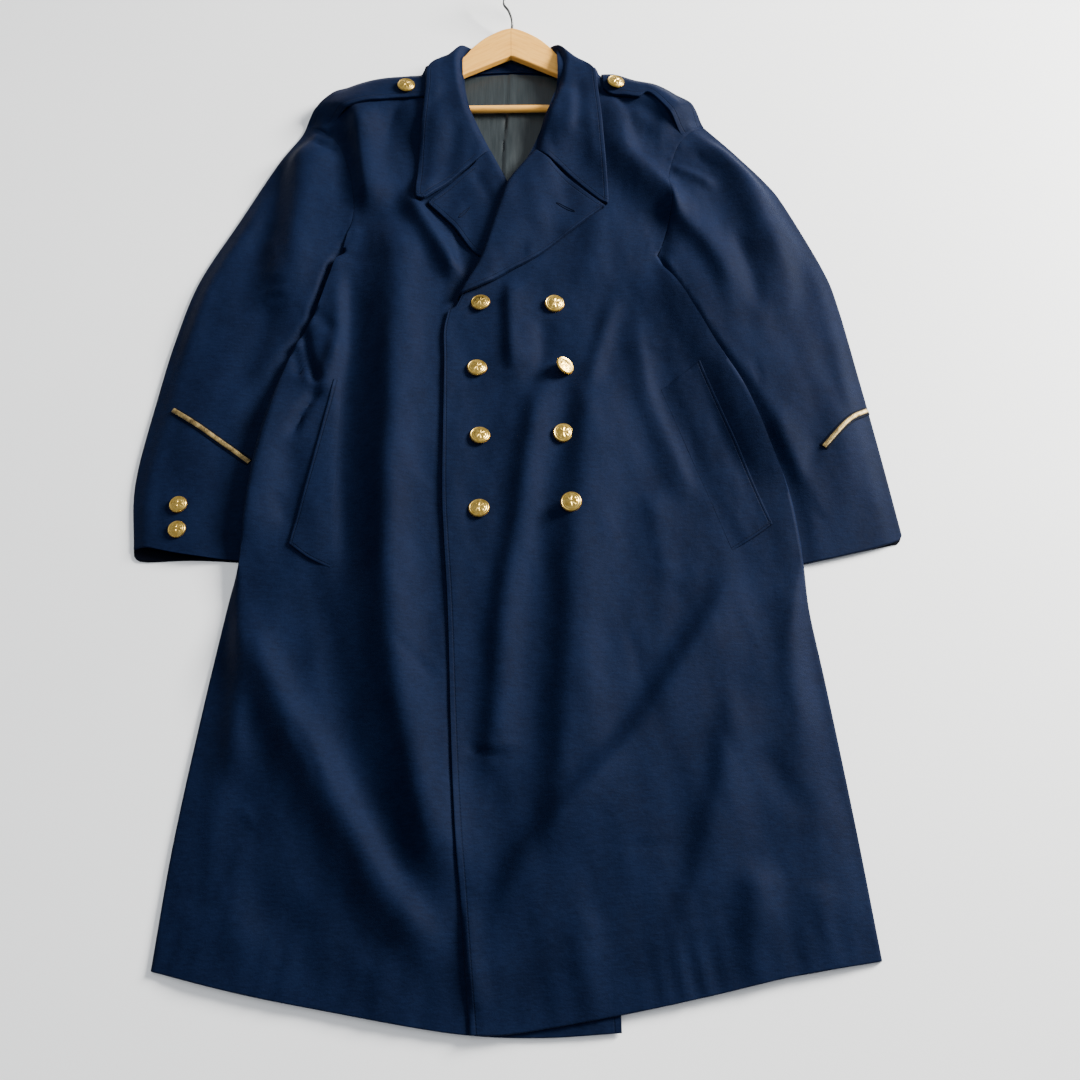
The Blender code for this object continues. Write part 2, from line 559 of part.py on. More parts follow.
def make_button(name, x, y, diameter, names):
    """Domed gilt button on a short shank that stands on the cloth."""
    radius, shank = diameter / 2, 2.5
    profile = ((0, 0), (shank, 0), (shank, 1.6), (radius, 2.0), (radius, 3.0), (radius * 0.6, 5.4), (0, 6.2))
    form = bmesh.new()
    rings = []
    for r, z in profile:
        if r == 0:
            rings.append([form.verts.new((0, 0, z * MM))])
            continue
        turn = [2 * math.pi * k / BUTTON_SEGMENTS for k in range(BUTTON_SEGMENTS)]
        rings.append([form.verts.new((r * MM * math.cos(a), r * MM * math.sin(a), z * MM)) for a in turn])
    for low, high in zip(rings, rings[1:]):
        for k in range(BUTTON_SEGMENTS):
            n = (k + 1) % BUTTON_SEGMENTS
            if len(low) == 1:
                form.faces.new((low[0], high[n], high[k]))
            elif len(high) == 1:
                form.faces.new((low[k], low[n], high[0]))
            else:
                form.faces.new((low[k], low[n], high[n], high[k]))
    place = np.array([[(x, y)]], float)
    seat = STACK.under(place, names, shank + 0.5)[0, 0] + SEAM
    around = STACK.under(place, names, radius)[0, 0] + SEAM - 1.6
    form.transform(Matrix.Translation((x * MM, y * MM, max(seat, around) * MM)))
    bmesh.ops.triangulate(form, faces=[f for f in form.faces if len(f.verts) > 3])
    to_object(name, form, GILT, 0.25, 1.0)


def make_buttons():
    for number, (x, y) in enumerate(FRONT_BUTTONS, 1):
        make_button(f"front_button_{number}", x, y, FRONT_BUTTON, ["over_front", "lapel_right"])
    for number, (x, y) in enumerate(((-371, -74), (-369, -104)), 1):
        make_button(f"cuff_button_{number}", x, y, CUFF_BUTTON, ["top_sleeve_left"])
    make_button("strap_button_left", -139, 522, STRAP_BUTTON, ["epaulette_left", "collar_leaf_left"])
    make_button("strap_button_right", 137, 522, STRAP_BUTTON, ["epaulette_right", "collar_leaf_right"])


# ---------------------------------------------------------------- hanger

HANGER_TOP = ((-206, 498), (-196, 506), (-139, 532), (-90, 560), (-66, 580), (-50, 602), (-30, 623), (0, 637),
              (30, 623), (50, 602), (66, 580), (90, 560), (139, 530), (192, 502), (202, 494))
HANGER_FOOT = ((-206, 474), (-192, 476), (-139, 499), (-60, 545), (0, 577),
               (60, 545), (139, 497), (188, 472), (202, 470))


def make_hanger():
    """Two wooden arms meeting at a raised neck, a round trouser bar and a wire hook."""
    grid = patch(resample(np.array(HANGER_FOOT, float), 27), curve(HANGER_TOP, 27),
                 np.linspace(HANGER_FOOT[0], HANGER_TOP[0], 3), np.linspace(HANGER_FOOT[-1], HANGER_TOP[-1], 3))
    wall_object("hanger", grid, np.full(grid.shape[:2], HANGER_LOW + HANGER_THICK), HANGER_THICK, MAPLE, 0.4)
    form = bmesh.new()
    bmesh.ops.create_cone(form, cap_ends=True, segments=12, radius1=BAR_DIAMETER / 2 * MM,
                          radius2=BAR_DIAMETER / 2 * MM, depth=2 * BAR_HALF * MM)
    middle = (0, BAR_Y * MM, (HANGER_LOW + BAR_DIAMETER / 2) * MM)
    form.transform(Matrix.Translation(middle) @ Matrix.Rotation(math.pi / 2, 4, "Y"))
    to_object("hanger_bar", form, MAPLE, 0.4)


def make_hook():
    """Wire hook: a stem out of the neck, a slight bend to the left, then a loop to the right."""
    stem = [(1, 637.3), (1, 645), (-3, 655)]
    centre, radius = (11, 694), 24.0
    loop = [(centre[0] + radius * math.cos(math.radians(a)), centre[1] + radius * math.sin(math.radians(a)))
            for a in range(215, -31, -15)]
    path = np.array(stem + loop, float)
    rise, start_z = 0.40, HANGER_LOW + HANGER_THICK / 2
    data = bpy.data.curves.new("hook_path", "CURVE")
    data.dimensions = "3D"
    data.bevel_depth = WIRE_DIAMETER / 2 * MM
    data.bevel_resolution = 2
    data.use_fill_caps = True
    spline = data.splines.new("POLY")
    spline.points.add(len(path) - 1)
    for point, (x, y) in zip(spline.points, path):
        point.co = (x * MM, y * MM, (start_z + rise * max(0.0, y - 645)) * MM, 1)
    data.materials.append(material("hanger_hook", STEEL, 0.35, 1.0))
    hook = bpy.data.objects.new("hanger_hook", data)
    bpy.context.scene.collection.objects.link(hook)


def main():
    for old in list(bpy.data.objects):
        bpy.data.objects.remove(old, do_unlink=True)
    make_sleeves()
    make_neck()
    make_hanger()
    make_hook()
    make_under_front()
    make_lapel_left()
    make_over_front()
    make_lapel_right()
    make_welts()
    make_collar()
    make_straps()
    make_braids()
    make_buttons()


main()
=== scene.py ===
"""Looks of the double-breasted coat that lies flat over its wooden hanger.

Each piece of cloth is a thin fine shell with the form of its solid: the outline comes from named
curves, the height from a loft, tables of folds and the pieces below it. Tables are in
millimetres, meshes in metres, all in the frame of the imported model.
"""
import math

import bmesh
import bpy
import numpy as np
from mathutils import Matrix, Vector
from mathutils.bvhtree import BVHTree


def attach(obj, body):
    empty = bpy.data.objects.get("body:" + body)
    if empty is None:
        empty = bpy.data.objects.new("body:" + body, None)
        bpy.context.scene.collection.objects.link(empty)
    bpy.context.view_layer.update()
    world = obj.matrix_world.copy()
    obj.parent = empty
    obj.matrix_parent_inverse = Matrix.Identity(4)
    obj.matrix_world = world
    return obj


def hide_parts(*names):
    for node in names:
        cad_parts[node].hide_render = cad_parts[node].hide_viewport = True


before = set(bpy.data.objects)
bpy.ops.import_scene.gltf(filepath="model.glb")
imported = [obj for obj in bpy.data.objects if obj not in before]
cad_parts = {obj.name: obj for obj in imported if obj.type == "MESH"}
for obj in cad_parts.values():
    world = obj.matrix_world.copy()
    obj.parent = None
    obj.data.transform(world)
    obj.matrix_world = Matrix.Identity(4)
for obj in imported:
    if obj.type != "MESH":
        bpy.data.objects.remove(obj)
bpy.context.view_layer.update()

MM = 0.001
BODY = "root"

# Cloth
WOOL = 2.0              # thickness of the cloth
DOUBLE = 2.8            # collar, lapels and straps are two layers of wool
SATIN = 0.8             # thickness of the lining
SEAM = 0.3              # gap along and under a seam
LAYER = 0.35            # gap between a piece and what it lies on
STEP = 4.4              # spacing of a panel's points
STEP_SMALL = 2.6        # the same on the collar, lapels and straps
STEP_HIDDEN = 9.0       # the same on the back and the under-sleeves
BORDER = np.array((0.0, 0.35, 0.9, 1.7, 2.8, 4.4, 6.6))   # points near a panel's edges
EDGE_ROUND = 1.1        # radius of a cut or stitched edge
DOUBLE_ROUND = 1.4      # the same on the collar and lapels
SIDE_ROUND = 4.0        # radius of the skirt's sides
FOLD_ROUND = 5.0        # radius of a folded side
SIDE_EASE = 44.0        # width of the soft fall towards the skirt's sides
ARM_EASE = 4.0          # the same where a side lies on a sleeve
SLEEVE_RISE = 6.0       # width of a sleeve's steep rise beside the body
ARM_END = -135.0        # height on the body where the sleeves end
HEM_EASE = 70.0         # length over which the skirt settles towards its hem
HEM_DEPTH = 66.0        # depth of the turned hem
SLEEVE_EASE = 26.0      # width of the soft fall towards a sleeve's outer side
LOFT = 7.0              # rise of the cloth without any fold
LEAST_LOFT = 0.3        # rise of the cloth in its deepest troughs
SEAM_BLEND = 20.0       # how far the folds run on across the armhole seam
CUFF_LENGTH = 170.0     # length over which a sleeve sinks towards its cuff
CUFF_OPENING = 3.0      # rise of the open corner of the left cuff
SLEEVE_REST = 2 * WOOL + SEAM               # top of two layers of wool
SHOULDER_EDGE = 7.0     # height of the cloth at the shoulder's edge
SHOULDER_FALL = 0.85    # its slope from there up to the hanger's arm
COLLAR_FREE = 40.0      # how much higher the shoulder may stand under the collar
SLEEVE_FREE = 14.0      # the same where it passes into the sleeve
ROOF_BEND = 3.0         # softness of the bend where that slope meets the front
ROLL_INSET = 6.0        # how far the fronts stay back from the lapels' rolls
UNDERARM_Y = 274.0      # the back lies on the sleeves below this height
UPPER_BACK_Y = 400.0    # and on the collar above this one
FRONT_WIDTH, BACK_WIDTH = 360.0, 640.0      # widths that set how many points a row has
BACK_TOP_SHIFT, BACK_HEM_SHIFT = (0.0, -4.0), (0.0, 1.0)     # keep the back inside of the fronts' outline
EDGE_RISE, EDGE_RISE_TOP = 2.2, 2.6         # rise of the over front's edge, and what its upper part adds
BUTTON_DENT = 1.1       # how far a button presses the front down
BACK_INSET = 3.0        # how far the back stays inside of the side seams
ARMHOLE_INSET = 0.4     # the same at the armholes
STITCH_INSET = 6.5      # line of top stitching inside an edge

# Outline curves, (x, y)
SHOULDER_L = ((-270, 481), (-266, 491), (-253, 511), (-229, 534), (-200, 549),
              (-172, 557), (-139, 560), (-106, 564), (-65, 590))
SHOULDER_R = ((253, 471), (238, 500), (219, 522), (194, 540), (166, 548), (139, 559), (105, 562), (61, 589))
ARMHOLE_L = ((-208, 268), (-207, 283), (-199, 323), (-202, 368), (-212, 408), (-230, 448), (-270, 481))
ARMHOLE_R = ((180, 260), (190, 288), (200, 328), (199, 368), (207, 408), (221, 440), (253, 471))
SIDE_L = ((-343, -555), (-336, -439), (-322, -309), (-308, -198), (-300, -140), (-296, -29),
          (-283, 51), (-262, 126), (-240, 176), (-220, 251), (-208, 268))
SIDE_R = ((345, -556), (336, -429), (324, -289), (316, -206), (315, -140), (308, -62),
          (290, -4), (270, 61), (240, 129), (205, 206), (190, 236), (180, 260))
HEM_UNDER = ((-343, -555), (-261, -575), (-180, -591), (-60, -612), (20, -617), (97, -614))
HEM_OVER = ((-43, -614), (0, -613), (97, -599), (180, -584), (260, -568), (345, -556))
HEM_BACK = ((-343, -555), (-220, -576), (-60, -598), (60, -598), (220, -575), (345, -556))
EDGE_OVER = ((-43, -614), (-52, -501), (-61, -371), (-68, -200), (-73, -120), (-76, -52),
             (-76, 98), (-77, 148), (-72, 178))
ROLL_OVER = ((-72, 178), (-62, 201), (-35, 270), (-3, 362), (33, 444), (55, 504), (61, 540), (61, 589))
EDGE_UNDER = ((97, -614), (94, -371), (90, -131), (86, 178))
ROLL_UNDER = ((86, 178), (40, 270), (-3, 358), (-32, 414), (-55, 494), (-63, 541), (-65, 590))
NECK_BACK = ((-65, 590), (-40, 578), (0, 572), (38, 578), (61, 589))
SLEEVE_OUT_L = ((-417, -124), (-426, -41), (-414, 74), (-403, 150), (-384, 233), (-343, 326),
                (-303, 416), (-277, 461), (-270, 481))
SLEEVE_OUT_R = ((428, -119), (418, -17), (407, 83), (395, 184), (383, 240), (345, 341),
                (325, 378), (292, 423), (277, 442), (253, 471))
SLEEVE_IN_L = ((-252, -144), (-240, -40), (-222, 80), (-206, 190), (-208, 268))
SLEEVE_IN_R = ((265, -156), (256, -60), (232, 60), (192, 170), (180, 260))
CUFF_TOP_L = ((-417, -124), (-401, -123), (-351, -131), (-252, -137))
CUFF_UNDER_L = ((-417, -124), (-414, -134), (-400, -138), (-344, -137), (-252, -144))
CUFF_TOP_R = ((428, -119), (419, -127), (381, -138), (319, -151), (265, -156))
CUFF_UNDER_R = ((428, -119), (423, -128), (414, -130), (381, -137), (319, -149), (265, -156))

# Folds: path of the crest, width to its west, width to its east, height (a trough where negative)
BODY_FOLDS = (
    # left front, from the shoulder down
    (((-202, 508), (-194, 440), (-184, 380), (-172, 312)), 15, 26, 17.0),
    (((-212, 268), (-222, 225), (-252, 150)), 8, 24, 6.0),
    (((-240, 188), (-227, 166), (-210, 148)), 8, 8, -3.0),
    (((-206, 150), (-216, 100), (-226, 60)), 9, 12, 5.0),
    (((-262, 100), (-286, -20), (-294, -150)), 7, 32, 12.0),
    (((-252, 20), (-252, -60), (-246, -120)), 16, 18, -3.0),
    (((-138, 372), (-112, 318), (-82, 262), (-56, 212)), 14, 11, 13.0),
    (((-152, 345), (-142, 250), (-136, 120), (-137, -20), (-136, -140),
      (-126, -240), (-108, -330), (-84, -425), (-62, -505)), 29, 32, 16.0),
    (((-214, 236), (-208, 170), (-204, 90)), 10, 9, 3.0),
    (((-146, 200), (-140, 60), (-139, -80), (-132, -200), (-116, -300), (-94, -390), (-74, -460)),
     13, 14, 3.5),
    (((-197, 250), (-194, 150), (-194, 40), (-190, -60), (-176, -190)), 10, 26, -7.0),
    (((-294, -165), (-268, -245), (-236, -305), (-202, -360),
      (-166, -420), (-134, -470), (-98, -518), (-64, -562)), 26, 18, 15.0),
    (((-225, -130), (-170, -330), (-84, -508)), 20, 22, -4.0),
    (((-278, -330), (-262, -470), (-196, -560)), 22, 26, -5.0),
    (((-300, -190), (-290, -290), (-270, -400)), 13, 14, 5.0),
    (((-322, -330), (-312, -440), (-304, -520)), 16, 12, -3.5),
    (((-262, -430), (-268, -490), (-262, -560)), 12, 26, 3.0),
    (((-218, -480), (-206, -530), (-196, -580)), 20, 14, -2.5),
    (((-140, -540), (-128, -575), (-122, -606)), 14, 20, 3.0),
    # right front, the same
    (((138, 506), (142, 445), (150, 412), (170, 388), (195, 356), (203, 330), (203, 286)), 27, 16, 16.0),
    (((118, 345), (102, 275), (90, 200)), 20, 34, 4.0),
    (((176, 345), (186, 290), (176, 215)), 18, 12, -5.0),
    (((132, 502), (172, 488), (206, 456)), 12, 12, -5.0),
    (((-4, 232), (-3, 160), (0, 80)), 7, 20, 7.5),
    (((34, 175), (36, 120), (22, 50)), 10, 12, -3.0),
    (((44, 120), (22, 10), (8, -90), (-10, -190), (-18, -310), (-26, -400)), 13, 20, 9.0),
    (((126, 205), (104, 130), (84, 60)), 9, 12, 4.5),
    (((104, 120), (88, 30), (76, -60), (66, -140), (62, -230), (56, -320), (46, -400), (30, -480)),
     22, 44, 13.0),
    (((146, 190), (152, 80), (180, -20), (204, -90)), 16, 10, 5.0),
    (((150, -60), (160, -120), (166, -190)), 12, 18, 3.5),
    (((184, 262), (214, 190), (248, 112), (282, 20), (311, -75)), 44, 5, 17.0),
    (((214, 120), (236, 20), (276, -80)), 16, 14, -3.0),
    (((250, -148), (205, -222), (162, -285), (128, -335),
      (92, -375), (48, -420), (0, -480), (-20, -560)), 17, 42, 12.0),
    (((224, -160), (114, -318), (-20, -450)), 20, 14, -3.0),
    (((300, -160), (298, -260), (310, -380)), 24, 12, 6.0),
    (((228, -285), (204, -395), (146, -565)), 15, 28, 7.0),
    (((232, -460), (228, -520), (222, -590)), 17, 18, 7.0),
    (((292, -480), (290, -520), (288, -570)), 16, 12, 3.0),
    (((316, -390), (330, -470), (338, -545)), 15, 7, 3.5),
    (((250, -350), (268, -390), (300, -430)), 14, 16, -2.5),
    (((-47, -490), (-42, -560), (-30, -606)), 5, 10, 4.5),
    (((70, -500), (62, -550), (60, -606)), 14, 20, 3.0),
)
SLEEVE_FOLDS = (
    (((-262, 460), (-262, 410), (-264, 340), (-269, 240), (-284, 150)), 27, 34, 15.0),
    (((-220, 262), (-228, 220), (-244, 150)), 18, 10, 2.0),
    (((-328, 392), (-368, 260), (-392, 70)), 18, 34, 5.0),
    (((-300, 300), (-292, 250), (-286, 210)), 14, 10, 3.0),
    (((-286, 205), (-300, 150), (-320, 60)), 16, 14, -3.5),
    (((-352, 120), (-366, 20), (-372, -60)), 18, 24, 2.5),
    (((-330, 40), (-334, -50), (-336, -128)), 16, 20, -2.5),
    (((-292, 434), (-302, 350), (-314, 220)), 18, 16, -5.0),
    (((203, 378), (208, 330), (221, 302), (241, 275), (260, 230), (270, 160)), 12, 24, 9.0),
    (((238, 448), (266, 425), (292, 388), (305, 343), (316, 300), (326, 250), (334, 140)), 24, 20, 12.0),
    (((203, 396), (230, 384), (264, 360)), 8, 7, 4.0),
    (((276, 300), (290, 240), (300, 170)), 9, 9, -2.5),
    (((350, 290), (366, 180), (372, 60)), 20, 16, -3.0),
    (((372, 60), (378, -20), (384, -100)), 22, 20, 2.5),
    (((300, 60), (318, -30), (346, -118)), 9, 14, 3.0),
)
# Smaller creases that show only from near by, with the same columns
BODY_CREASES = (
    (((-252, 168), (-240, 112), (-222, 70)), 5, 6, -8.0),
    (((-221, 76), (-240, 44), (-254, 2)), 6, 5, -6.5),
    (((-259, 134), (-253, 110), (-246, 84)), 7, 7, -6.0),
    (((-244, 104), (-240, 88), (-237, 74)), 4, 4, 3.0),
    (((-270, -58), (-260, -78), (-250, -100)), 5, 7, -1.6),
    (((-126, -232), (-108, -252), (-76, -284)), 5, 5, -1.6),
    (((-228, -318), (-206, -352), (-190, -392)), 5, 5, -1.6),
    (((-274, -404), (-264, -414), (-254, -424)), 4, 4, 1.6),
    (((-118, -36), (-104, -50), (-92, -66)), 5, 5, 0.8),
    (((-50, -345), (-32, -356), (-4, -362)), 4, 4, -2.0),
    (((-40, -346), (-18, -348), (8, -348)), 4, 4, 1.2),
    (((-30, -404), (-22, -407), (-12, -406)), 3, 3, -0.9),
    (((60, -226), (68, -224), (78, -222)), 3, 3, -0.9),
    (((118, -226), (126, -250), (130, -282)), 5, 5, -1.0),
    (((210, -320), (214, -345), (222, -372)), 5, 5, -1.0),
    (((104, -452), (130, -448), (160, -452)), 6, 6, -1.0),
    (((-70, 192), (-62, 186), (-56, 178)), 3, 3, -1.4),
    (((36, 270), (32, 262), (26, 258)), 5, 5, -1.5),
    (((-20, 92), (0, 86), (14, 88)), 5, 5, 1.2),
    (((160, 128), (178, 122), (196, 128)), 6, 6, 1.0),
    (((206, 92), (196, 84), (190, 78)), 4, 4, 1.0),
    (((-196, 300), (-206, 284), (-212, 272)), 5, 5, -2.0),
    (((-216, 292), (-200, 296), (-190, 306)), 5, 5, 1.5),
)
SLEEVE_CREASES = (
    (((-262, 458), (-246, 446), (-226, 444)), 4, 4, 2.6),
    (((-262, 470), (-246, 460), (-226, 458)), 5, 5, -3.0),
    (((-256, 444), (-240, 433), (-220, 428)), 4, 4, -2.6),
    (((-296, 207), (-282, 205), (-268, 207)), 4, 4, 1.8),
    (((-294, 200), (-282, 198), (-268, 200)), 5, 5, -1.6),
    (((-400, -20), (-394, -70), (-389, -124)), 2.5, 2.5, -1.2),
    (((283, 118), (287, 92), (288, 64)), 3, 3, -1.6),
    (((236, 425), (246, 405), (262, 390)), 6, 6, -1.4),
    (((320, -44), (332, -84), (346, -112)), 5, 5, -2.0),
    (((352, 4), (338, -20), (330, -46)), 8, 8, -1.4),
)
ON_BODY = (BODY_FOLDS, BODY_CREASES)
ON_SLEEVES = (SLEEVE_FOLDS, SLEEVE_CREASES)
HANGER_LINES = (((-60, 560), (-139, 515), (-200, 490)), ((60, 560), (139, 515), (196, 488)),
                ((-131, 494), (131, 494)))
HANGER_SWELL = 16.0     # rise of the fronts over the hanger's arms and bar
HANGER_REACH = 36.0     # half width of that rise
FADE = 60.0             # length over which a fold fades at its ends
RIPPLE_WAVES = 26       # number of sine waves in a ripple
SPREAD_PASSES = 60      # number of cells that a slope beside a lifted place can reach


# ---------------------------------------------------------------- curves and patches

def smooth_line(points, per_span=8):
    """A Catmull-Rom curve through the points, as a fine polyline."""
    p = np.array(points, float)
    p = np.vstack([2 * p[0] - p[1], p, 2 * p[-1] - p[-2]])
    t = np.linspace(0, 1, per_span, endpoint=False)[:, None]
    spans = []
    for i in range(1, len(p) - 2):
        a, b, c, d = p[i - 1], p[i], p[i + 1], p[i + 2]
        spans.append(0.5 * (2 * b + (c - a) * t + (2 * a - 5 * b + 4 * c - d) * t ** 2
                            + (3 * b - a - 3 * c + d) * t ** 3))
    return np.vstack(spans + [p[-2][None]])


def lengths_along(line):
    """Length from the start of a polyline to each of its points."""
    return np.concatenate([[0], np.cumsum(np.linalg.norm(np.diff(line, axis=0), axis=1))])


def fractions_of(line):
    """Share of a polyline's length that lies before each of its points."""
    along = lengths_along(line)
    return along / along[-1]


def length_of(points):
    """Length of the smooth curve through the points."""
    return lengths_along(smooth_line(points))[-1]


def resampled(line, fractions):
    """Places on a polyline, at fractions of its length."""
    along = lengths_along(line)
    wanted = np.asarray(fractions) * along[-1]
    return np.stack([np.interp(wanted, along, line[:, k]) for k in range(2)], axis=1)


def at(points, fractions):
    """Places on the smooth curve through the points, at fractions of its length."""
    return resampled(smooth_line(points), fractions)


def x_of(line, y):
    """Where a line that runs up the body lies at the height y."""
    return np.interp(y, [point[1] for point in line], [point[0] for point in line])


def graded(length, step, low=True, high=True):
    """Fractions of a length: even steps, and fine ones near the chosen ends."""
    start = BORDER if low else BORDER[:1]
    end = BORDER if high else BORDER[:1]
    count = max(2, round((length - start[-1] - end[-1]) / step) + 1)
    middle = np.linspace(start[-1], length - end[-1], count)
    return np.concatenate([start[:-1], middle, (length - end[:-1])[::-1]]) / length


def shifted(line, offset):
    """The line moved sideways by offset, to its left where positive."""
    tangent = np.gradient(line, axis=0)
    tangent /= np.linalg.norm(tangent, axis=1)[:, None]
    return line + offset * np.stack([-tangent[:, 1], tangent[:, 0]], axis=1)


def chain(*lines):
    """One polyline from several, each of which starts where the one before ends."""
    return np.vstack([lines[0]] + [line[1:] for line in lines[1:]])


def patch(bottom, top, left, right, u, v):
    """Grid of points between four edge curves, whose points lie at the fractions u and v."""
    u, v = np.asarray(u)[None, :, None], np.asarray(v)[:, None, None]
    left, right = left[:, None], right[:, None]
    bottom, top = bottom[None], top[None]
    corners = ((1 - u) * (1 - v) * bottom[:, :1] + u * (1 - v) * bottom[:, -1:]
               + (1 - u) * v * top[:, :1] + u * v * top[:, -1:])
    return (1 - v) * bottom + v * top + (1 - u) * left + u * right - corners


def quad_patch(low, high, step, right=None):
    """Patch between a low and a high curve; its sides are straight, but for a right one that is given."""
    left = (low[0], high[0])
    right = right or (low[-1], high[-1])
    u = graded((length_of(low) + length_of(high)) / 2, step)
    v = graded((length_of(left) + length_of(right)) / 2, step)
    return patch(at(low, u), at(high, u), at(left, v), at(right, v), u, v)


def distance_to(points, curve):
    """Distance to the smooth curve through some points."""
    return nearest_on(points, smooth_line(curve))[0]


def ease(value):
    """Soft step: 0 up to the value 0, 1 from the value 1."""
    value = np.clip(value, 0, 1)
    return value * value * (3 - 2 * value)


def bell(distance, width):
    """Soft bump: 1 where the distance is 0, nearly 0 from twice the width."""
    return np.exp(-(distance / width) ** 2)


def nearest_on(points, line):
    """Distance to a polyline, and how far along it the nearest place lies, 0 to 1."""
    shape = points.shape[:-1]
    flat = points.reshape(-1, 2)
    best = np.full(len(flat), np.inf)
    place = np.zeros(len(flat))
    for i in range(len(line) - 1):
        start, step = line[i], line[i + 1] - line[i]
        away = flat - start
        along = np.clip(away @ step / max(step @ step, 1e-9), 0, 1)
        gap = np.linalg.norm(away - along[:, None] * step, axis=1)
        closer = gap < best
        best = np.where(closer, gap, best)
        place = np.where(closer, (i + along) / (len(line) - 1), place)
    return best.reshape(shape), place.reshape(shape)


def fold_height(points, folds):
    """Sum of the folds, each a soft ridge along its path that fades towards both ends."""
    height = np.zeros(points.shape[:-1])
    for path, west, east, rise in folds:
        line = smooth_line(path, 5)
        distance, place = nearest_on(points, line)
        order = np.argsort(line[:, 1])
        is_west = points[..., 0] < np.interp(points[..., 1], line[order, 1], line[order, 0])
        width = np.where(is_west, west, east)
        ends = length_of(path) / min(FADE + 0.6 * (west + east), length_of(path) / 4)
        fade = ease(ends * place) * ease(ends * (1 - place))
        height += rise * fade * bell(distance, width)
    return height


def hanger_swell(points):
    """Rise of the cloth over the hanger's arms and bar."""
    height = np.zeros(points.shape[:-1])
    for line in HANGER_LINES:
        distance, _ = nearest_on(points, np.array(line, float))
        height = np.maximum(height, HANGER_SWELL * bell(distance, HANGER_REACH))
    return height


def ripple(points, seed, size, rise, stretch=2.2):
    """Slight uneven waves of the cloth, longer up and down than across."""
    rng = np.random.default_rng(seed)
    height = np.zeros(points.shape[:-1])
    for _ in range(RIPPLE_WAVES):
        wave = size * rng.uniform(0.6, 1.8)
        angle = rng.normal(0, 0.7)
        kx, ky = math.cos(angle) / wave, math.sin(angle) / (wave * stretch)
        phase = rng.uniform(0, 2 * math.pi)
        height += np.sin(2 * math.pi * (kx * points[..., 0] + ky * points[..., 1]) + phase) * wave / size
    return height * rise / math.sqrt(RIPPLE_WAVES)


# ---------------------------------------------------------------- lying on what is below

TREES = {}


def height_below(x, y, names):
    """Highest place of the named pieces at one point."""
    top = 0.0
    for name in names:
        tree, low, high = TREES[name]
        if low[0] - 1 < x < high[0] + 1 and low[1] - 1 < y < high[1] + 1:
            hit = tree.ray_cast(Vector((x, y, 300.0)), Vector((0, 0, -1)))[0]
            if hit is not None:
                top = max(top, hit.z)
    return top


def under(grid, names, reach):
    """Highest place of the named pieces within reach of each grid point."""
    around = ((0, 0), (reach, 0), (-reach, 0), (0, reach), (0, -reach))
    result = np.zeros(grid.shape[:2])
    for index in np.ndindex(*grid.shape[:2]):
        x, y = grid[index]
        result[index] = max(height_below(x + i, y + j, names) for i, j in around)
    return result


def spread(lift, decay):
    """Soft slopes around the places where a piece is lifted."""
    result = lift.copy()
    for _ in range(SPREAD_PASSES):
        padded = np.pad(result, 1, mode="edge")
        mean = (padded[:-2, 1:-1] + padded[2:, 1:-1] + padded[1:-1, :-2] + padded[1:-1, 2:]) / 4
        result = np.maximum(lift, mean * decay)
    return result


def window(values, size, pick):
    """Largest or mean value of each point's neighbours up to size cells away."""
    for axis in (0, 1):
        margins = [(size, size) if axis == k else (0, 0) for k in (0, 1)]
        padded = np.pad(values, margins, mode="edge")
        count = values.shape[axis]
        values = pick([np.take(padded, range(i, i + count), axis=axis) for i in range(2 * size + 1)], axis=0)
    return values


def soft_cover(lift, size):
    """A smooth surface that is nowhere lower than the lift."""
    wide = window(lift, 2 * size, np.max)
    return window(window(wide, size, np.mean), size, np.mean)


def rest(grid, shape, wall, names, reach=2.5, keep=None, decay=0.985, gap=LAYER, limit=math.inf, soft=0):
    """Upper face of a piece that has the given shape but lies on the named pieces."""
    below = np.minimum(under(grid, names, reach), limit)
    if keep is not None:
        below = np.where(keep, below, 0.0)
    least = np.where(below > 0, below + gap, 0.0) + wall
    lift = spread(np.maximum(0, least - shape), decay)
    return shape + (soft_cover(lift, soft) if soft else lift)


def edge_distances(grid):
    """Distances of each grid point from the left, right, bottom and top edges, along its row or column."""
    across = np.linalg.norm(np.diff(grid, axis=1), axis=2)
    upward = np.linalg.norm(np.diff(grid, axis=0), axis=2)
    zero_c, zero_r = np.zeros((len(grid), 1)), np.zeros((1, grid.shape[1]))
    from_left = np.concatenate([zero_c, np.cumsum(across, axis=1)], axis=1)
    from_bottom = np.concatenate([zero_r, np.cumsum(upward, axis=0)], axis=0)
    return {"left": from_left, "right": from_left[:, -1:] - from_left,
            "bottom": from_bottom, "top": from_bottom[-1:] - from_bottom}


def round_edge(height, distance, radius, low=None):
    """Rounds the edge off: down by the radius, or down to the height low where that is given."""
    drop = radius if low is None else np.maximum(height - low, 0)
    share = 1 - np.sqrt(np.clip(1 - np.clip(1 - distance / radius, 0, 1) ** 2, 0, 1))
    return height - drop * share


# ---------------------------------------------------------------- materials

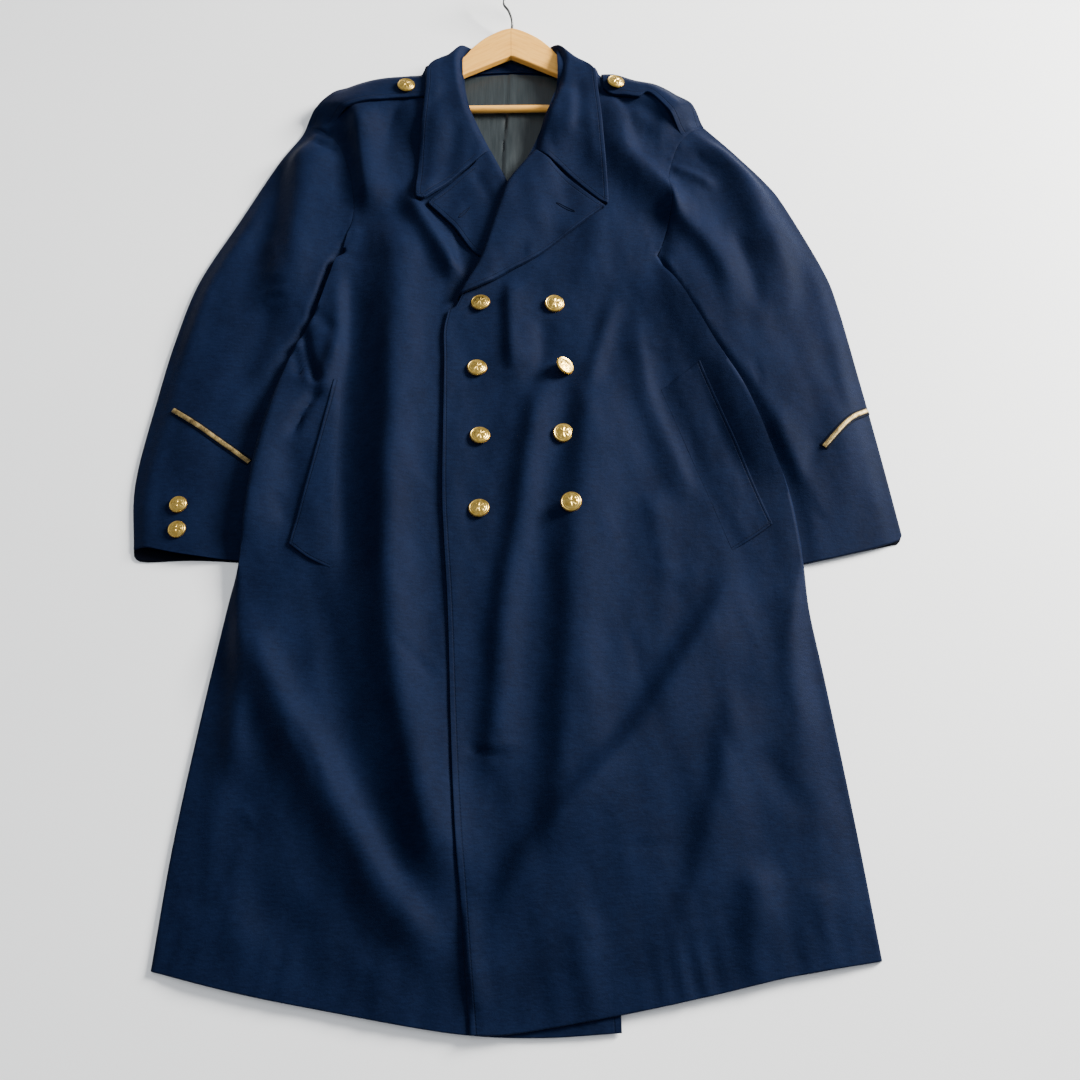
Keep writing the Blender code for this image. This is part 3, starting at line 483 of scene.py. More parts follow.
class Nodes:
    """Short way to write a material's nodes."""

    def __init__(self, name):
        self.material = bpy.data.materials.new(name)
        self.material.use_nodes = True
        self.tree = self.material.node_tree
        self.shader = self.tree.nodes["Principled BSDF"]
        self.place = self.add("ShaderNodeTexCoord").outputs["Object"]

    def fill(self, socket, value):
        """Links the socket to a value that is a socket too, or else sets it."""
        if isinstance(value, bpy.types.NodeSocket):
            self.tree.links.new(value, socket)
        else:
            socket.default_value = value

    def add(self, kind, **values):
        """New node; each value goes to the input of its name, or else to the node's own property."""
        node = self.tree.nodes.new(kind)
        for key, value in values.items():
            if key in node.inputs:
                self.fill(node.inputs[key], value)
            else:
                setattr(node, key, value)
        return node

    def math(self, operation, a, b=0.0, c=0.0):
        """Result of one calculation."""
        node = self.add("ShaderNodeMath", operation=operation)
        for socket, value in zip(node.inputs, (a, b, c)):
            self.fill(socket, value)
        return node.outputs[0]

    def weighted(self, *parts):
        """Sum of values, each given with its weight."""
        total = 0.0
        for value, weight in parts:
            total = self.math("MULTIPLY_ADD", value, weight, total)
        return total

    def attribute(self, name):
        """Value that the mesh keeps under the name."""
        return self.add("ShaderNodeAttribute", attribute_name=name).outputs["Fac"]

    def noise(self, vector, scale, detail, roughness=0.55):
        node = self.add("ShaderNodeTexNoise", Vector=vector, Scale=scale, Detail=detail, Roughness=roughness)
        return node.outputs["Fac"]

    def ramp(self, value, *stops):
        """Colour that changes with the value, given at some of its positions."""
        node = self.add("ShaderNodeValToRGB", Fac=value)
        elements = node.color_ramp.elements
        while len(elements) < len(stops):
            elements.new(0.5)
        for element, (position, colour) in zip(elements, stops):
            element.position = position
            element.color = (*colour, 1.0)
        return node.outputs["Color"]

    def mapped(self, vector, scale=(1, 1, 1), turn=0.0):
        """The vector scaled along its axes and turned about z."""
        node = self.add("ShaderNodeMapping", Vector=vector, Scale=scale, Rotation=(0, 0, turn))
        return node.outputs["Vector"]

    def darker(self, colour, amount):
        """The colour with a share of it taken away."""
        left = self.math("SUBTRACT", 1.0, amount)
        node = self.add("ShaderNodeVectorMath", operation="SCALE", Vector=colour, Scale=left)
        return node.outputs["Vector"]

    def bump(self, height, strength, distance, **after):
        """Normal that shows a height, on top of another normal where that is given."""
        node = self.add("ShaderNodeBump", Height=height, Strength=strength, Distance=distance, **after)
        return node.outputs["Normal"]

    def finish(self, colour, **inputs):
        """Gives the shader its colour and other inputs, and returns the material."""
        self.fill(self.shader.inputs["Base Color"], colour)
        for key, value in inputs.items():
            self.fill(self.shader.inputs[key.replace("_", " ")], value)
        return self.material


NAVY_DARK, NAVY_LIGHT = (0.0010, 0.0036, 0.0145), (0.0022, 0.0066, 0.0240)
TWILL_PITCH = 0.0011     # metres between the diagonal ribs of the serge
TWILL_TURN = math.radians(58)
STITCH_PITCH = 3.4       # length of a stitch and the gap after it
STITCH_HALF = 1.1        # half width of the groove that the stitches lie in
GRAIN_LEAN = math.radians(30)
JOINT_HALF = 0.00035     # half width of the dark line where the hanger's arms meet


def wool(name, dark, light, stitched=True):
    """Navy serge: fine diagonal twill under a short soft nap, with top stitching by the edges, and painted
    shade in the stitching grooves and on inner faces.
    """
    n = Nodes(name)
    nap = n.noise(n.place, 22.0, 4.0)
    fuzz = n.noise(n.place, 620.0, 3.0, 0.7)
    streak = n.noise(n.mapped(n.place, (1, 3.5, 1)), 110.0, 3.0, 0.6)
    colour = n.ramp(n.weighted((nap, 0.35), (fuzz, 0.30), (streak, 0.35)), (0.40, dark), (0.60, light))
    twill = n.add("ShaderNodeTexWave", wave_type="BANDS", bands_direction="X",
                  Vector=n.mapped(n.place, turn=TWILL_TURN), Scale=2 * math.pi / (20 * TWILL_PITCH),
                  Distortion=1.2, Detail=1.0).outputs["Fac"]
    felt = n.noise(n.mapped(n.place, (1, 2.2, 1)), 260.0, 3.0, 0.65)
    dents = n.noise(n.place, 70.0, 4.0, 0.6)
    normal = n.bump(n.weighted((twill, 0.5), (fuzz, 1.0)), 0.35, 0.00035)
    normal = n.bump(felt, 0.30, 0.0007, Normal=normal)
    normal = n.bump(dents, 0.30, 0.0018, Normal=normal)
    if stitched:
        beside = n.math("DIVIDE", n.math("ABSOLUTE", n.attribute("stitch")), STITCH_HALF)
        groove = n.math("SUBTRACT", 1.0, n.math("MINIMUM", beside, 1.0))
        wave = n.math("SINE", n.math("MULTIPLY", n.attribute("along"), 2 * math.pi / STITCH_PITCH))
        thread = n.math("MULTIPLY", n.math("GREATER_THAN", wave, -0.5), groove)
        normal = n.bump(n.weighted((thread, 0.55), (groove, -1.0)), 0.75, 0.0006, Normal=normal)
        # painted shade: 30 % darker in the stitching grooves, and darker by the mesh's inside value where an
        # inner face lies in shade
        colour = n.darker(colour, n.weighted((groove, 0.3), (n.attribute("inside"), 1.0)))
    return n.finish(colour, Normal=normal, Roughness=0.70, Specular_IOR_Level=0.052, Sheen_Weight=0.015,
                    Sheen_Roughness=0.50, Sheen_Tint=(0.55, 0.56, 1.0, 1.0))


def satin(name):
    """Dark olive-grey satin with fine streaks along the warp."""
    n = Nodes(name)
    streak = n.noise(n.mapped(n.place, (60, 3, 60)), 10.0, 3.0)
    weave = n.noise(n.mapped(n.place, (3, 1, 1)), 700.0, 2.0)
    colour = n.ramp(streak, (0.3, (0.010, 0.015, 0.017)), (0.7, (0.020, 0.026, 0.028)))
    return n.finish(colour, Normal=n.bump(weave, 0.15, 0.0002), Roughness=0.40,
                    Sheen_Weight=0.25, Sheen_Roughness=0.3)


def gilt(name):
    """Polished gilt brass, dulled in patches."""
    n = Nodes(name)
    worn = n.noise(n.place, 260.0, 4.0)
    colour = n.ramp(worn, (0.35, (0.68, 0.42, 0.075)), (0.65, (0.92, 0.64, 0.17)))
    normal = n.bump(n.noise(n.place, 1400.0, 2.0), 0.08, 0.0001)
    return n.finish(colour, Normal=normal, Roughness=n.math("MULTIPLY_ADD", worn, 0.22, 0.22), Metallic=1.0)


def braid_gold(name):
    """Woven metal braid, tarnished brown between its threads."""
    n = Nodes(name)
    tarnish = n.noise(n.place, 150.0, 4.0)
    colour = n.ramp(tarnish, (0.3, (0.10, 0.065, 0.022)), (0.7, (0.46, 0.33, 0.13)))
    normal = n.bump(n.noise(n.place, 900.0, 2.0), 0.4, 0.0003)
    return n.finish(colour, Normal=normal, Roughness=0.48, Metallic=0.65)


def varnished_wood(name, lean=0.0):
    """Pale varnished wood; its grain leans down on both sides of the middle joint by the angle."""
    n = Nodes(name)
    x, y, z = n.add("ShaderNodeSeparateXYZ", Vector=n.place).outputs
    beside = n.math("ABSOLUTE", x)
    mirrored = n.add("ShaderNodeCombineXYZ", X=beside, Y=y, Z=z).outputs["Vector"]
    place = n.mapped(mirrored, turn=lean)
    grain = n.noise(n.mapped(place, (1.0, 9.0, 9.0)), 34.0, 5.0, 0.6)
    fine = n.noise(n.mapped(place, (1.0, 24.0, 24.0)), 70.0, 3.0)
    colour = n.ramp(n.weighted((grain, 0.7), (fine, 0.3)),
                    (0.25, (0.58, 0.25, 0.030)), (0.5, (0.76, 0.37, 0.060)), (0.75, (0.84, 0.45, 0.095)))
    if lean:
        joint = n.math("LESS_THAN", beside, JOINT_HALF)
        colour = n.darker(colour, n.math("MULTIPLY", joint, 0.45))
    return n.finish(colour, Normal=n.bump(fine, 0.08, 0.0003), Roughness=0.42, Coat_Weight=0.20,
                    Coat_Roughness=0.25)


def steel(name):
    """Drawn wire, a little dull."""
    n = Nodes(name)
    drawn = n.noise(n.place, 500.0, 3.0)
    colour = n.ramp(drawn, (0.3, (0.10, 0.10, 0.10)), (0.7, (0.20, 0.20, 0.19)))
    return n.finish(colour, Roughness=n.math("MULTIPLY_ADD", drawn, 0.2, 0.25), Metallic=1.0)


def pale_floor(name):
    """White floor with faint clouds."""
    n = Nodes(name)
    cloud = n.noise(n.place, 1.6, 3.0)
    return n.finish(n.ramp(cloud, (0.3, (0.885, 0.89, 0.885)), (0.7, (0.93, 0.935, 0.925))), Roughness=0.55)


def darkened(colour, share):
    """The colour without a share of its light."""
    return tuple(value * (1 - share) for value in colour)


WOOL_MAT = wool("navy_serge", NAVY_DARK, NAVY_LIGHT)
BACKING_MAT = wool("braid_backing", darkened(NAVY_DARK, 0.6), darkened(NAVY_LIGHT, 0.6), stitched=False)
THREAD_MAT = wool("buttonhole_thread", darkened(NAVY_DARK, 0.35), NAVY_DARK, stitched=False)
SATIN_MAT = satin("olive_satin")
GILT_MAT = gilt("gilt_brass")
BRAID_MAT = braid_gold("gold_braid")
WOOD_MAT = varnished_wood("varnished_wood", GRAIN_LEAN)
BAR_MAT = varnished_wood("varnished_bar")
STEEL_MAT = steel("steel_wire")


# ---------------------------------------------------------------- meshes

def dress(mesh, material, sharp_angle):
    """Smooth shading up to the angle, and the material."""
    mesh.shade_smooth()
    mesh.set_sharp_from_angle(angle=math.radians(sharp_angle))
    mesh.materials.append(material)


def add_piece(name, data, node=None):
    """Adds a piece that rides on the body, in place of the node where one is named."""
    piece = bpy.data.objects.new(name, data)
    bpy.context.scene.collection.objects.link(piece)
    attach(piece, BODY)
    if node is not None:
        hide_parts(node)
    return piece


def fill_mesh(mesh, form):
    """Puts the form into the mesh with its faces turned outward."""
    bmesh.ops.recalc_face_normals(form, faces=form.faces)
    form.to_mesh(mesh)
    form.free()


def wire(name, path, thickness, material, closed=False, node=None):
    """Round wire or cord along the path."""
    curve = bpy.data.curves.new(name, "CURVE")
    curve.dimensions = "3D"
    curve.bevel_depth = thickness / 2 * MM
    curve.bevel_resolution = 2 if closed else 6
    curve.use_fill_caps = not closed
    spline = curve.splines.new("POLY")
    spline.points.add(len(path) - 1)
    spline.use_cyclic_u = closed
    for point, place in zip(spline.points, path):
        point.co = (*(value * MM for value in place), 1)
    curve.materials.append(material)
    add_piece(name, curve, node)


def grid_faces(shape):
    """Four corner numbers for each cell of a grid, and the grid's point numbers."""
    index = np.arange(shape[0] * shape[1]).reshape(shape)
    corners = index[:-1, :-1], index[:-1, 1:], index[1:, 1:], index[1:, :-1]
    return np.stack(corners, axis=-1).reshape(-1, 4), index


def remember(name, grid, top):
    """Keeps a piece's upper face for the pieces that lie on it."""
    points = np.dstack([grid, top]).reshape(-1, 3)
    faces, _ = grid_faces(top.shape)
    tree = BVHTree.FromPolygons(points.tolist(), faces.tolist())
    TREES[name] = (tree, points.min(0), points.max(0))


def wall_mesh(name, grid, top, wall):
    """Closed sheet: the grid at height top, the same grid one wall lower, and its edges."""
    quads, index = grid_faces(top.shape)
    count = index.size
    upper = np.dstack([grid, top]).reshape(-1, 3)
    lower = upper - np.array((0, 0, wall))
    rim = np.concatenate([index[0, :-1], index[:-1, -1], index[-1, :0:-1], index[:0:-1, 0]])
    after = np.roll(rim, -1)
    sides = np.stack([rim, rim + count, after + count, after], axis=-1)
    faces = np.concatenate([quads, quads[:, ::-1] + count, sides])
    mesh = bpy.data.meshes.new(name)
    mesh.from_pydata((np.concatenate([upper, lower]) * MM).tolist(), [], faces.tolist())
    mesh.update()
    return mesh


UNSTITCHED = 99.0       # distance from a line of stitching where there is none


def store(mesh, name, upper, lower=None):
    """Keeps a value for each point of the upper and of the lower face."""
    layer = mesh.attributes.new(name, "FLOAT", "POINT")
    both = np.concatenate([upper.ravel(), (upper if lower is None else lower).ravel()])
    layer.data.foreach_set("value", both.astype(np.float32))


def cloth(node, grid, top, wall=WOOL, material=WOOL_MAT, slot="wool", stitched=(), rests_on=("back",),
          inset=STITCH_INSET, inside=0.0, unstitched=None):
    """One piece of cloth that stands for a solid, with its stitching lines."""
    name = node + "_cloth"
    mesh = wall_mesh(name, grid, top, wall)
    away = edge_distances(grid)
    line, along = np.full(top.shape, UNSTITCHED), np.zeros(top.shape)
    for edge in stitched:
        offset = away[edge] - inset
        closer = np.abs(offset) < np.abs(line)
        line = np.where(closer, offset, line)
        along = np.where(closer, away["bottom" if edge in ("left", "right") else "left"], along)
    if unstitched is not None:
        line = np.where(unstitched, UNSTITCHED, line)
    store(mesh, "stitch", line)
    store(mesh, "along", along)
    # inside: share of painted shade on the upper face, none on the lower face
    store(mesh, "inside", np.full(top.shape, inside), np.zeros(top.shape))
    form = bmesh.new()
    form.from_mesh(mesh)
    fill_mesh(mesh, form)
    dress(mesh, material, 60)
    piece = add_piece(name, mesh, node)
    remember(node, grid, top)


# ---------------------------------------------------------------- shared seams

ARMHOLE_SPLIT = 0.58    # share of the armhole that lies below the sleeve head


def armhole_fractions(points):
    """Fractions of the armhole seam that the panels on both its sides use."""
    length = length_of(points)
    low = np.linspace(0, ARMHOLE_SPLIT, max(8, round(length * ARMHOLE_SPLIT / STEP)), endpoint=False)
    high = graded(length * (1 - ARMHOLE_SPLIT), STEP * 0.62, low=True)
    return np.concatenate([low, ARMHOLE_SPLIT + high * (1 - ARMHOLE_SPLIT)]), len(low)


def seam_pucker(points, seam, rise=0.35, reach=12.0, pitch=23.0, groove=0.3):
    """Small puckers across a seam and the groove of the seam itself."""
    distance, place = nearest_on(points, smooth_line(seam))
    along = place * length_of(seam)
    wave = np.sin(2 * math.pi * (along / pitch + 0.35 * np.sin(along / 23.0)))
    return (rise * wave * bell(distance, reach) * (1 - bell(distance, 3.0))
            - groove * bell(distance, 1.6))


# ---------------------------------------------------------------- sleeves

def inside_body(points, side):
    """Where a sleeve's points lie over the body's edge, inside of its side seam."""
    sign = 1 if side[0][0] > 0 else -1
    inside = sign * points[..., 0] < sign * x_of(side, points[..., 1])
    return inside & (points[..., 1] < side[-1][1])


def loft_height(points, seam, outer, own, other):
    """Loft and folds of a panel, and the distance to the sleeve's outer side.

    Near the armhole the folds of the panel beyond it count too.
    """
    loft = LOFT + sum(fold_height(points, folds) for folds in own)
    beyond = sum(fold_height(points, folds) for folds in other)
    loft = loft + bell(distance_to(points, seam), SEAM_BLEND) * beyond
    loft = loft + hanger_swell(points) + ripple(points, 11, 52, 0.6) + ripple(points, 12, 17, 0.12, 1.6)
    return np.maximum(loft + seam_pucker(points, seam), LEAST_LOFT), distance_to(points, outer)


def sleeve_height(points, seam, side, outer, cuff_drop, low_ease):
    """Upper face of a sleeve: steep beside the body, or with a long slope in its low part."""
    loft, to_outer = loft_height(points, seam, outer, ON_SLEEVES, ON_BODY)
    side_ease = low_ease + (SLEEVE_RISE - low_ease) * ease((points[..., 1] - 50) / 110)
    free = np.where(inside_body(points, side), 0.0, ease(distance_to(points, side) / side_ease))
    cuff = ease((points[..., 1] + cuff_drop) / CUFF_LENGTH)
    open_cuff = CUFF_OPENING * (1 - cuff) * ease((-points[..., 0] - 300) / 60)
    settled = loft * (0.30 + 0.70 * cuff) + open_cuff
    return SLEEVE_REST + settled * free * ease(to_outer / (SLEEVE_EASE - 3.0 * open_cuff))


def sleeve_grid(seam, outer, inner, cuff, sign, step):
    """Points of a sleeve; u runs from its outer side inwards, v from the cuff up."""
    fractions, split = armhole_fractions(seam)
    line = shifted(at(seam, fractions), -sign * SEAM / 2)
    low, head = line[:split + 1], line[split:][::-1]
    inside = chain(at(inner, graded(length_of(inner), step, high=False)), low)
    u, v = fractions_of(head), fractions_of(inside)
    bottom, outside = at(cuff, u), at(outer, v)
    outside[0], outside[-1], inside[0] = bottom[0], head[0], bottom[-1]
    return patch(bottom, head, outside, inside, u, v)


def make_sleeves():
    """Both sleeves; the last value of each is the width of the slope beside the body in its low part."""
    for name, sign, seam, side, outer, inner, cuff_top, cuff_under, low_ease in (
            ("left", -1, ARMHOLE_L, SIDE_L, SLEEVE_OUT_L, SLEEVE_IN_L, CUFF_TOP_L, CUFF_UNDER_L, 50.0),
            ("right", 1, ARMHOLE_R, SIDE_R, SLEEVE_OUT_R, SLEEVE_IN_R, CUFF_TOP_R, CUFF_UNDER_R, 20.0)):
        under_sleeve, top_sleeve = "under_sleeve_" + name, "top_sleeve_" + name
        grid = sleeve_grid(seam, outer, inner, cuff_under, sign, STEP_HIDDEN)
        flat = np.full(grid.shape[:2], WOOL)
        height = round_edge(flat, edge_distances(grid)["bottom"], 0.8)
        # inside=0.85: painted shade on the under-sleeve's upper face, seen inside the open cuff, which also
        # stands for the sleeve's darker inner face
        cloth(under_sleeve, grid, height, rests_on=(), inside=0.85)
        grid = sleeve_grid(seam, outer, inner, cuff_top, sign, STEP)
        away = edge_distances(grid)
        height = sleeve_height(grid, seam, side, outer, -min(p[1] for p in cuff_top) + 4, low_ease)
        height = rest(grid, height, WOOL, [under_sleeve], gap=SEAM)
        height = round_edge(height, away["left"], FOLD_ROUND, low=WOOL + SEAM)
        height = round_edge(height, away["bottom"], EDGE_ROUND)
        cloth(top_sleeve, grid, height, rests_on=[under_sleeve])


# ---------------------------------------------------------------- body

def body_height(points, seam, side, hem, outer):
    """Upper face of the fronts: folds on a soft loft that sinks towards the sides and the hem."""
    loft, to_outer = loft_height(points, seam, outer, ON_BODY, ON_SLEEVES)
    to_hem, hem_place = nearest_on(points, smooth_line(hem))
    settled = 0.5 + 0.5 * ease(to_hem / HEM_EASE)
    side_ease = ARM_EASE + (SIDE_EASE - ARM_EASE) * ease((ARM_END - 5 - points[..., 1]) / 150)
    by_tip = ease(to_outer / SLEEVE_EASE)
    height = SLEEVE_REST + loft * ease(distance_to(points, side) / side_ease) * settled * by_tip
    return height + hem_relief(points, to_hem, hem_place * length_of(hem))


def hem_relief(points, to_hem, along):
    """Puckers over the turned hem, and the slight step at its upper end."""
    wave = np.sin(along / 3.4 + 1.6 * np.sin(along / 31.0)) * (0.6 + 0.4 * np.sin(along / 17.0 + 1.0))
    stronger = 0.55 + 0.6 * bell(points[..., 0] - 180, 80.0)
    puckers = stronger * wave * bell(to_hem - HEM_DEPTH * 0.35, 32.0)
    return puckers + 0.3 * ease((HEM_DEPTH - to_hem) / 6.0) - 0.2 * bell(to_hem - HEM_DEPTH, 2.5)


def front_grid(seam, side, hem, edge, roll, shoulder, sign):
    """Points of a front; u runs from the viewer's left, v from the hem up."""
    fractions, _ = armhole_fractions(seam)
    skirt = graded(length_of(side), STEP, high=False)
    outer = chain(at(side, skirt), shifted(at(seam, fractions), sign * SEAM / 2))
    inner = chain(at(edge, skirt), shifted(at(roll, fractions), -sign * ROLL_INSET))
    u, v = graded(FRONT_WIDTH, STEP), fractions_of(outer)
    left, right = (outer, inner) if sign < 0 else (inner, outer)
    bottom, top = at(hem, u), at(shoulder, u)
    left[0], right[0] = bottom[0], bottom[-1]
    top[0], top[-1] = left[-1], right[-1]
    return patch(bottom, top, left, right, u, v)


def make_back():
    """Flat back panel, over the sleeves' inner edges and the collar's back edge."""
    skirt = graded(length_of(SIDE_L), STEP_HIDDEN, high=False)
    arm, _ = armhole_fractions(ARMHOLE_L)
    left, right = (chain(shifted(at(side, skirt), sign * BACK_INSET),
                         shifted(at(seam, arm), sign * ARMHOLE_INSET))
                   for side, seam, sign in ((SIDE_L, ARMHOLE_L, -1), (SIDE_R, ARMHOLE_R, 1)))
    u, v = graded(BACK_WIDTH, 8.0), np.linspace(0, 1, len(left))
    line = chain(smooth_line(SHOULDER_L), smooth_line(NECK_BACK), smooth_line(SHOULDER_R[::-1]))
    top = resampled(line, u) + BACK_TOP_SHIFT
    bottom = at(HEM_BACK, u) + BACK_HEM_SHIFT
    left[0], right[0] = bottom[0], bottom[-1]
    top[0], top[-1] = left[-1], right[-1]
    grid = patch(bottom, top, left, right, u, v)
    flat = np.full(grid.shape[:2], WOOL)
    over_sleeves = rest(grid, flat, WOOL, ["top_sleeve_left", "top_sleeve_right"], reach=6.0,
                        keep=grid[..., 1] < UNDERARM_Y, decay=0.9, limit=SLEEVE_REST)
    over_collar = rest(grid, flat, WOOL, ["collar_back"], reach=6.0,
                       keep=grid[..., 1] > UPPER_BACK_Y, decay=0.9)
    cloth("back", grid, np.maximum(over_sleeves, over_collar), rests_on=["collar_back"])


def shoulder_roof(points, shoulder):
    """Highest place of the cloth that falls from the hanger's arm to the shoulder's edge."""
    below_collar = COLLAR_FREE * (1 - ease((np.abs(points[..., 0]) - 104) / 16.0))
    by_sleeve = SLEEVE_FREE * ease((np.abs(points[..., 0]) - 215) / 40.0)
    return SHOULDER_EDGE + SHOULDER_FALL * distance_to(points, shoulder) + below_collar + by_sleeve


def below_roof(height, roof):
    """The lower of the two heights, with a soft bend where they meet."""
    blend = np.clip(0.5 + 0.5 * (roof - height) / ROOF_BEND, 0, 1)
    return roof + (height - roof) * blend - ROOF_BEND * blend * (1 - blend)


def finish_front(node, grid, height, names, outer_edge, side, cuff, shoulder, rounds, **options):
    """Lays a front on what is below, lets it fall to the shoulder's edge and rounds its edges."""
    height = rest(grid, height, WOOL, names, soft=2)
    height = below_roof(height, shoulder_roof(grid, shoulder))
    away = edge_distances(grid)
    on_sleeve = grid[..., 1] > np.mean([point[1] for point in cuff])
    low = WOOL + SEAM + np.where(on_sleeve, SLEEVE_REST, 0.0)
    rounded = round_edge(height, away[outer_edge], SIDE_ROUND, low=low)
    height = np.where(grid[..., 1] < side[-1][1], rounded, height)
    for edge, radius in rounds.items():
        height = round_edge(height, away[edge], radius)
    cloth(node, grid, height, **options)


def make_under_front():
    """The left front, which is pressed flatter where the right one lies on it."""
    grid = front_grid(ARMHOLE_L, SIDE_L, HEM_UNDER, EDGE_UNDER, ROLL_UNDER, SHOULDER_L, -1)
    height = body_height(grid, ARMHOLE_L, SIDE_L, HEM_UNDER, SLEEVE_OUT_L)
    covered = ease((grid[..., 0] - x_of(EDGE_OVER, grid[..., 1]) + 5) / 12.0)
    height = np.maximum(height - covered * (WOOL + LAYER + 1.2), 2 * WOOL + LAYER)
    finish_front("under_front", grid, height, ["back", "lining", "hanger", "hanger_bar"], "left", SIDE_L,
                 CUFF_TOP_L, SHOULDER_L, {"bottom": EDGE_ROUND, "top": EDGE_ROUND},
                 stitched=("right",), rests_on=["back", "hanger"])


def make_over_front():
    """The right front, whose edge stands up a little and is held down by the buttons."""
    grid = front_grid(ARMHOLE_R, SIDE_R, HEM_OVER, EDGE_OVER, ROLL_OVER, SHOULDER_R[::-1], 1)
    height = body_height(grid, ARMHOLE_R, SIDE_R, HEM_OVER, SLEEVE_OUT_R)
    high_up = ease((grid[..., 1] + 340) / 320)
    height = height + (EDGE_RISE + EDGE_RISE_TOP * high_up) * bell(edge_distances(grid)["left"], 24.0)
    for x, y in FRONT_BUTTONS:
        height = height - BUTTON_DENT * bell(np.hypot(grid[..., 0] - x, grid[..., 1] - y), 13.0)
    names = ["back", "lining", "hanger", "hanger_bar", "under_front", "lapel_left"]
    finish_front("over_front", grid, height, names, "right", SIDE_R, CUFF_TOP_R, SHOULDER_R,
                 {"left": 1.8, "bottom": EDGE_ROUND, "top": EDGE_ROUND},
                 stitched=("left",), rests_on=["under_front", "back", "hanger"])


# ---------------------------------------------------------------- neck, collar and lapels

COLLAR_BACK_LOW = ((-112, 520), (-60, 512), (0, 510), (60, 512), (112, 518))
COLLAR_BACK_HIGH = ((-108, 549), (-64, 592), (0, 598), (60, 591), (108, 547))
NECK_BAND_LOW = ((-70, 560), (-40, 566), (0, 568), (40, 566), (66, 560))
NECK_BAND_HIGH = ((-62, 585), (-30, 592), (0, 594), (30, 592), (58, 584))
LINING_LOW = ((-112, 300), (-60, 296), (0, 294), (60, 296), (100, 300))
LINING_HIGH = ((-100, 540), (-60, 559), (0, 565), (60, 559), (96, 540))
PLEAT = ((-10.8, 421), (-8.8, 448), (-5.4, 495), (-3.6, 569))     # edge of the lining's pleat
NOTCH_END = 50.0        # distance of the notches' ends from the middle
LEAF_RISE, LAPEL_RISE = 6.0, 5.0        # height of a leaf and of a lapel where little lies below
LEAF_ROLL, LEAF_ROLL_LOW = 14.0, 7.5    # radius of a leaf's soft roll, and the height it comes down to
LEAF_TOP, LEAF_TOP_LOW = 12.0, 12.0     # the same at the upper edge
LAPEL_ROLL, LAPEL_ROLL_LOW = 10.0, 7.0  # the same at the left lapel


def make_collar_back():
    """The part of the collar behind the neck, flat on the floor."""
    grid = quad_patch(COLLAR_BACK_LOW, COLLAR_BACK_HIGH, 5.0)
    cloth("collar_back", grid, np.full(grid.shape[:2], WOOL), rests_on=(), stitched=("bottom",))


def make_lining():
    """Satin inside the neck: a pleat in the middle, slight waves beside it, flat under the bar."""
    grid = quad_patch(LINING_LOW, LINING_HIGH, 2.4)
    x, y = grid[..., 0], grid[..., 1]
    beside = x - x_of(PLEAT, y)
    pleat = 1.9 * ease((beside + 1.2) / 2.4) * np.exp(-np.maximum(0, beside) / 16.0)
    pleat = pleat - 1.3 * bell(beside + 1.4, 1.5)
    waves = 0.9 * np.sin(x / 9.0 + y / 50.0) * bell(x - 8, 26.0) * ease((500 - y) / 40.0)
    waves = waves + ripple(grid, 41, 30, 0.45) + ripple(grid, 42, 11, 0.10)
    shape = 4.6 + pleat + waves * ease((565 - y) / 60.0)
    height = np.minimum(rest(grid, shape, SATIN, ["back"]), BAR_LOW - 0.4)
    cloth("lining", grid, height, SATIN, SATIN_MAT, "satin")


def make_neck_band():
    """Band of wool inside the neck, which rises towards its upper edge under the hanger."""
    grid = quad_patch(NECK_BAND_LOW, NECK_BAND_HIGH, 3.0)
    rise = 3.0 * ease((grid[..., 1] - 566) / 25.0)
    height = rest(grid, 3.0 + rise, WOOL, ["back", "lining"])
    height = np.minimum(height, HANGER_LOW - 0.6)
    cloth("neck_band", grid, height, stitched=("bottom",), inset=3.0)


def leaf(side, lower, outer, inner, top, seed):
    """One front leaf of the collar: it lies on the front and turns over a soft roll into the neck."""
    u = graded((length_of(lower) + 50) / 2, STEP_SMALL)
    v = graded(length_of(outer), STEP_SMALL)
    grid = patch(at(lower, u), at(top, u), at(outer, v), at(inner, v), u, v)
    names = ["back", "lining", "neck_band", "hanger", "hanger_bar", "under_front", "over_front",
             "epaulette_" + side]
    away = edge_distances(grid)
    roll, out = away["right"], away["left"]
    height = rest(grid, np.full(grid.shape[:2], LEAF_RISE), DOUBLE, names, reach=3.0, decay=0.988, soft=3)
    height = height + 1.5 * bell(roll, 24.0) + ripple(grid, seed, 40, 0.6)
    height = height + fold_height(grid, COLLAR_FOLDS) + 0.7 * bell(out - 3, 6.0)
    height = join_gorge(grid, height, away["bottom"], "lapel_" + side)
    height = round_edge(height, roll, LEAF_ROLL, low=LEAF_ROLL_LOW)
    height = round_edge(height, out, DOUBLE_ROUND)
    height = round_edge(height, away["bottom"], edge_or_seam(grid))
    height = round_edge(height, away["top"], LEAF_TOP, low=LEAF_TOP_LOW)
    cloth("collar_leaf_" + side, grid, height, DOUBLE, stitched=("left", "bottom"),
          rests_on=["over_front", "under_front"], unstitched=by_gorge(grid, away["bottom"]))


def by_gorge(grid, distance):
    """Where the seam between leaf and lapel takes the place of top stitching."""
    return (np.abs(grid[..., 0]) < NOTCH_END - 4) & (distance < 2 * STITCH_INSET)


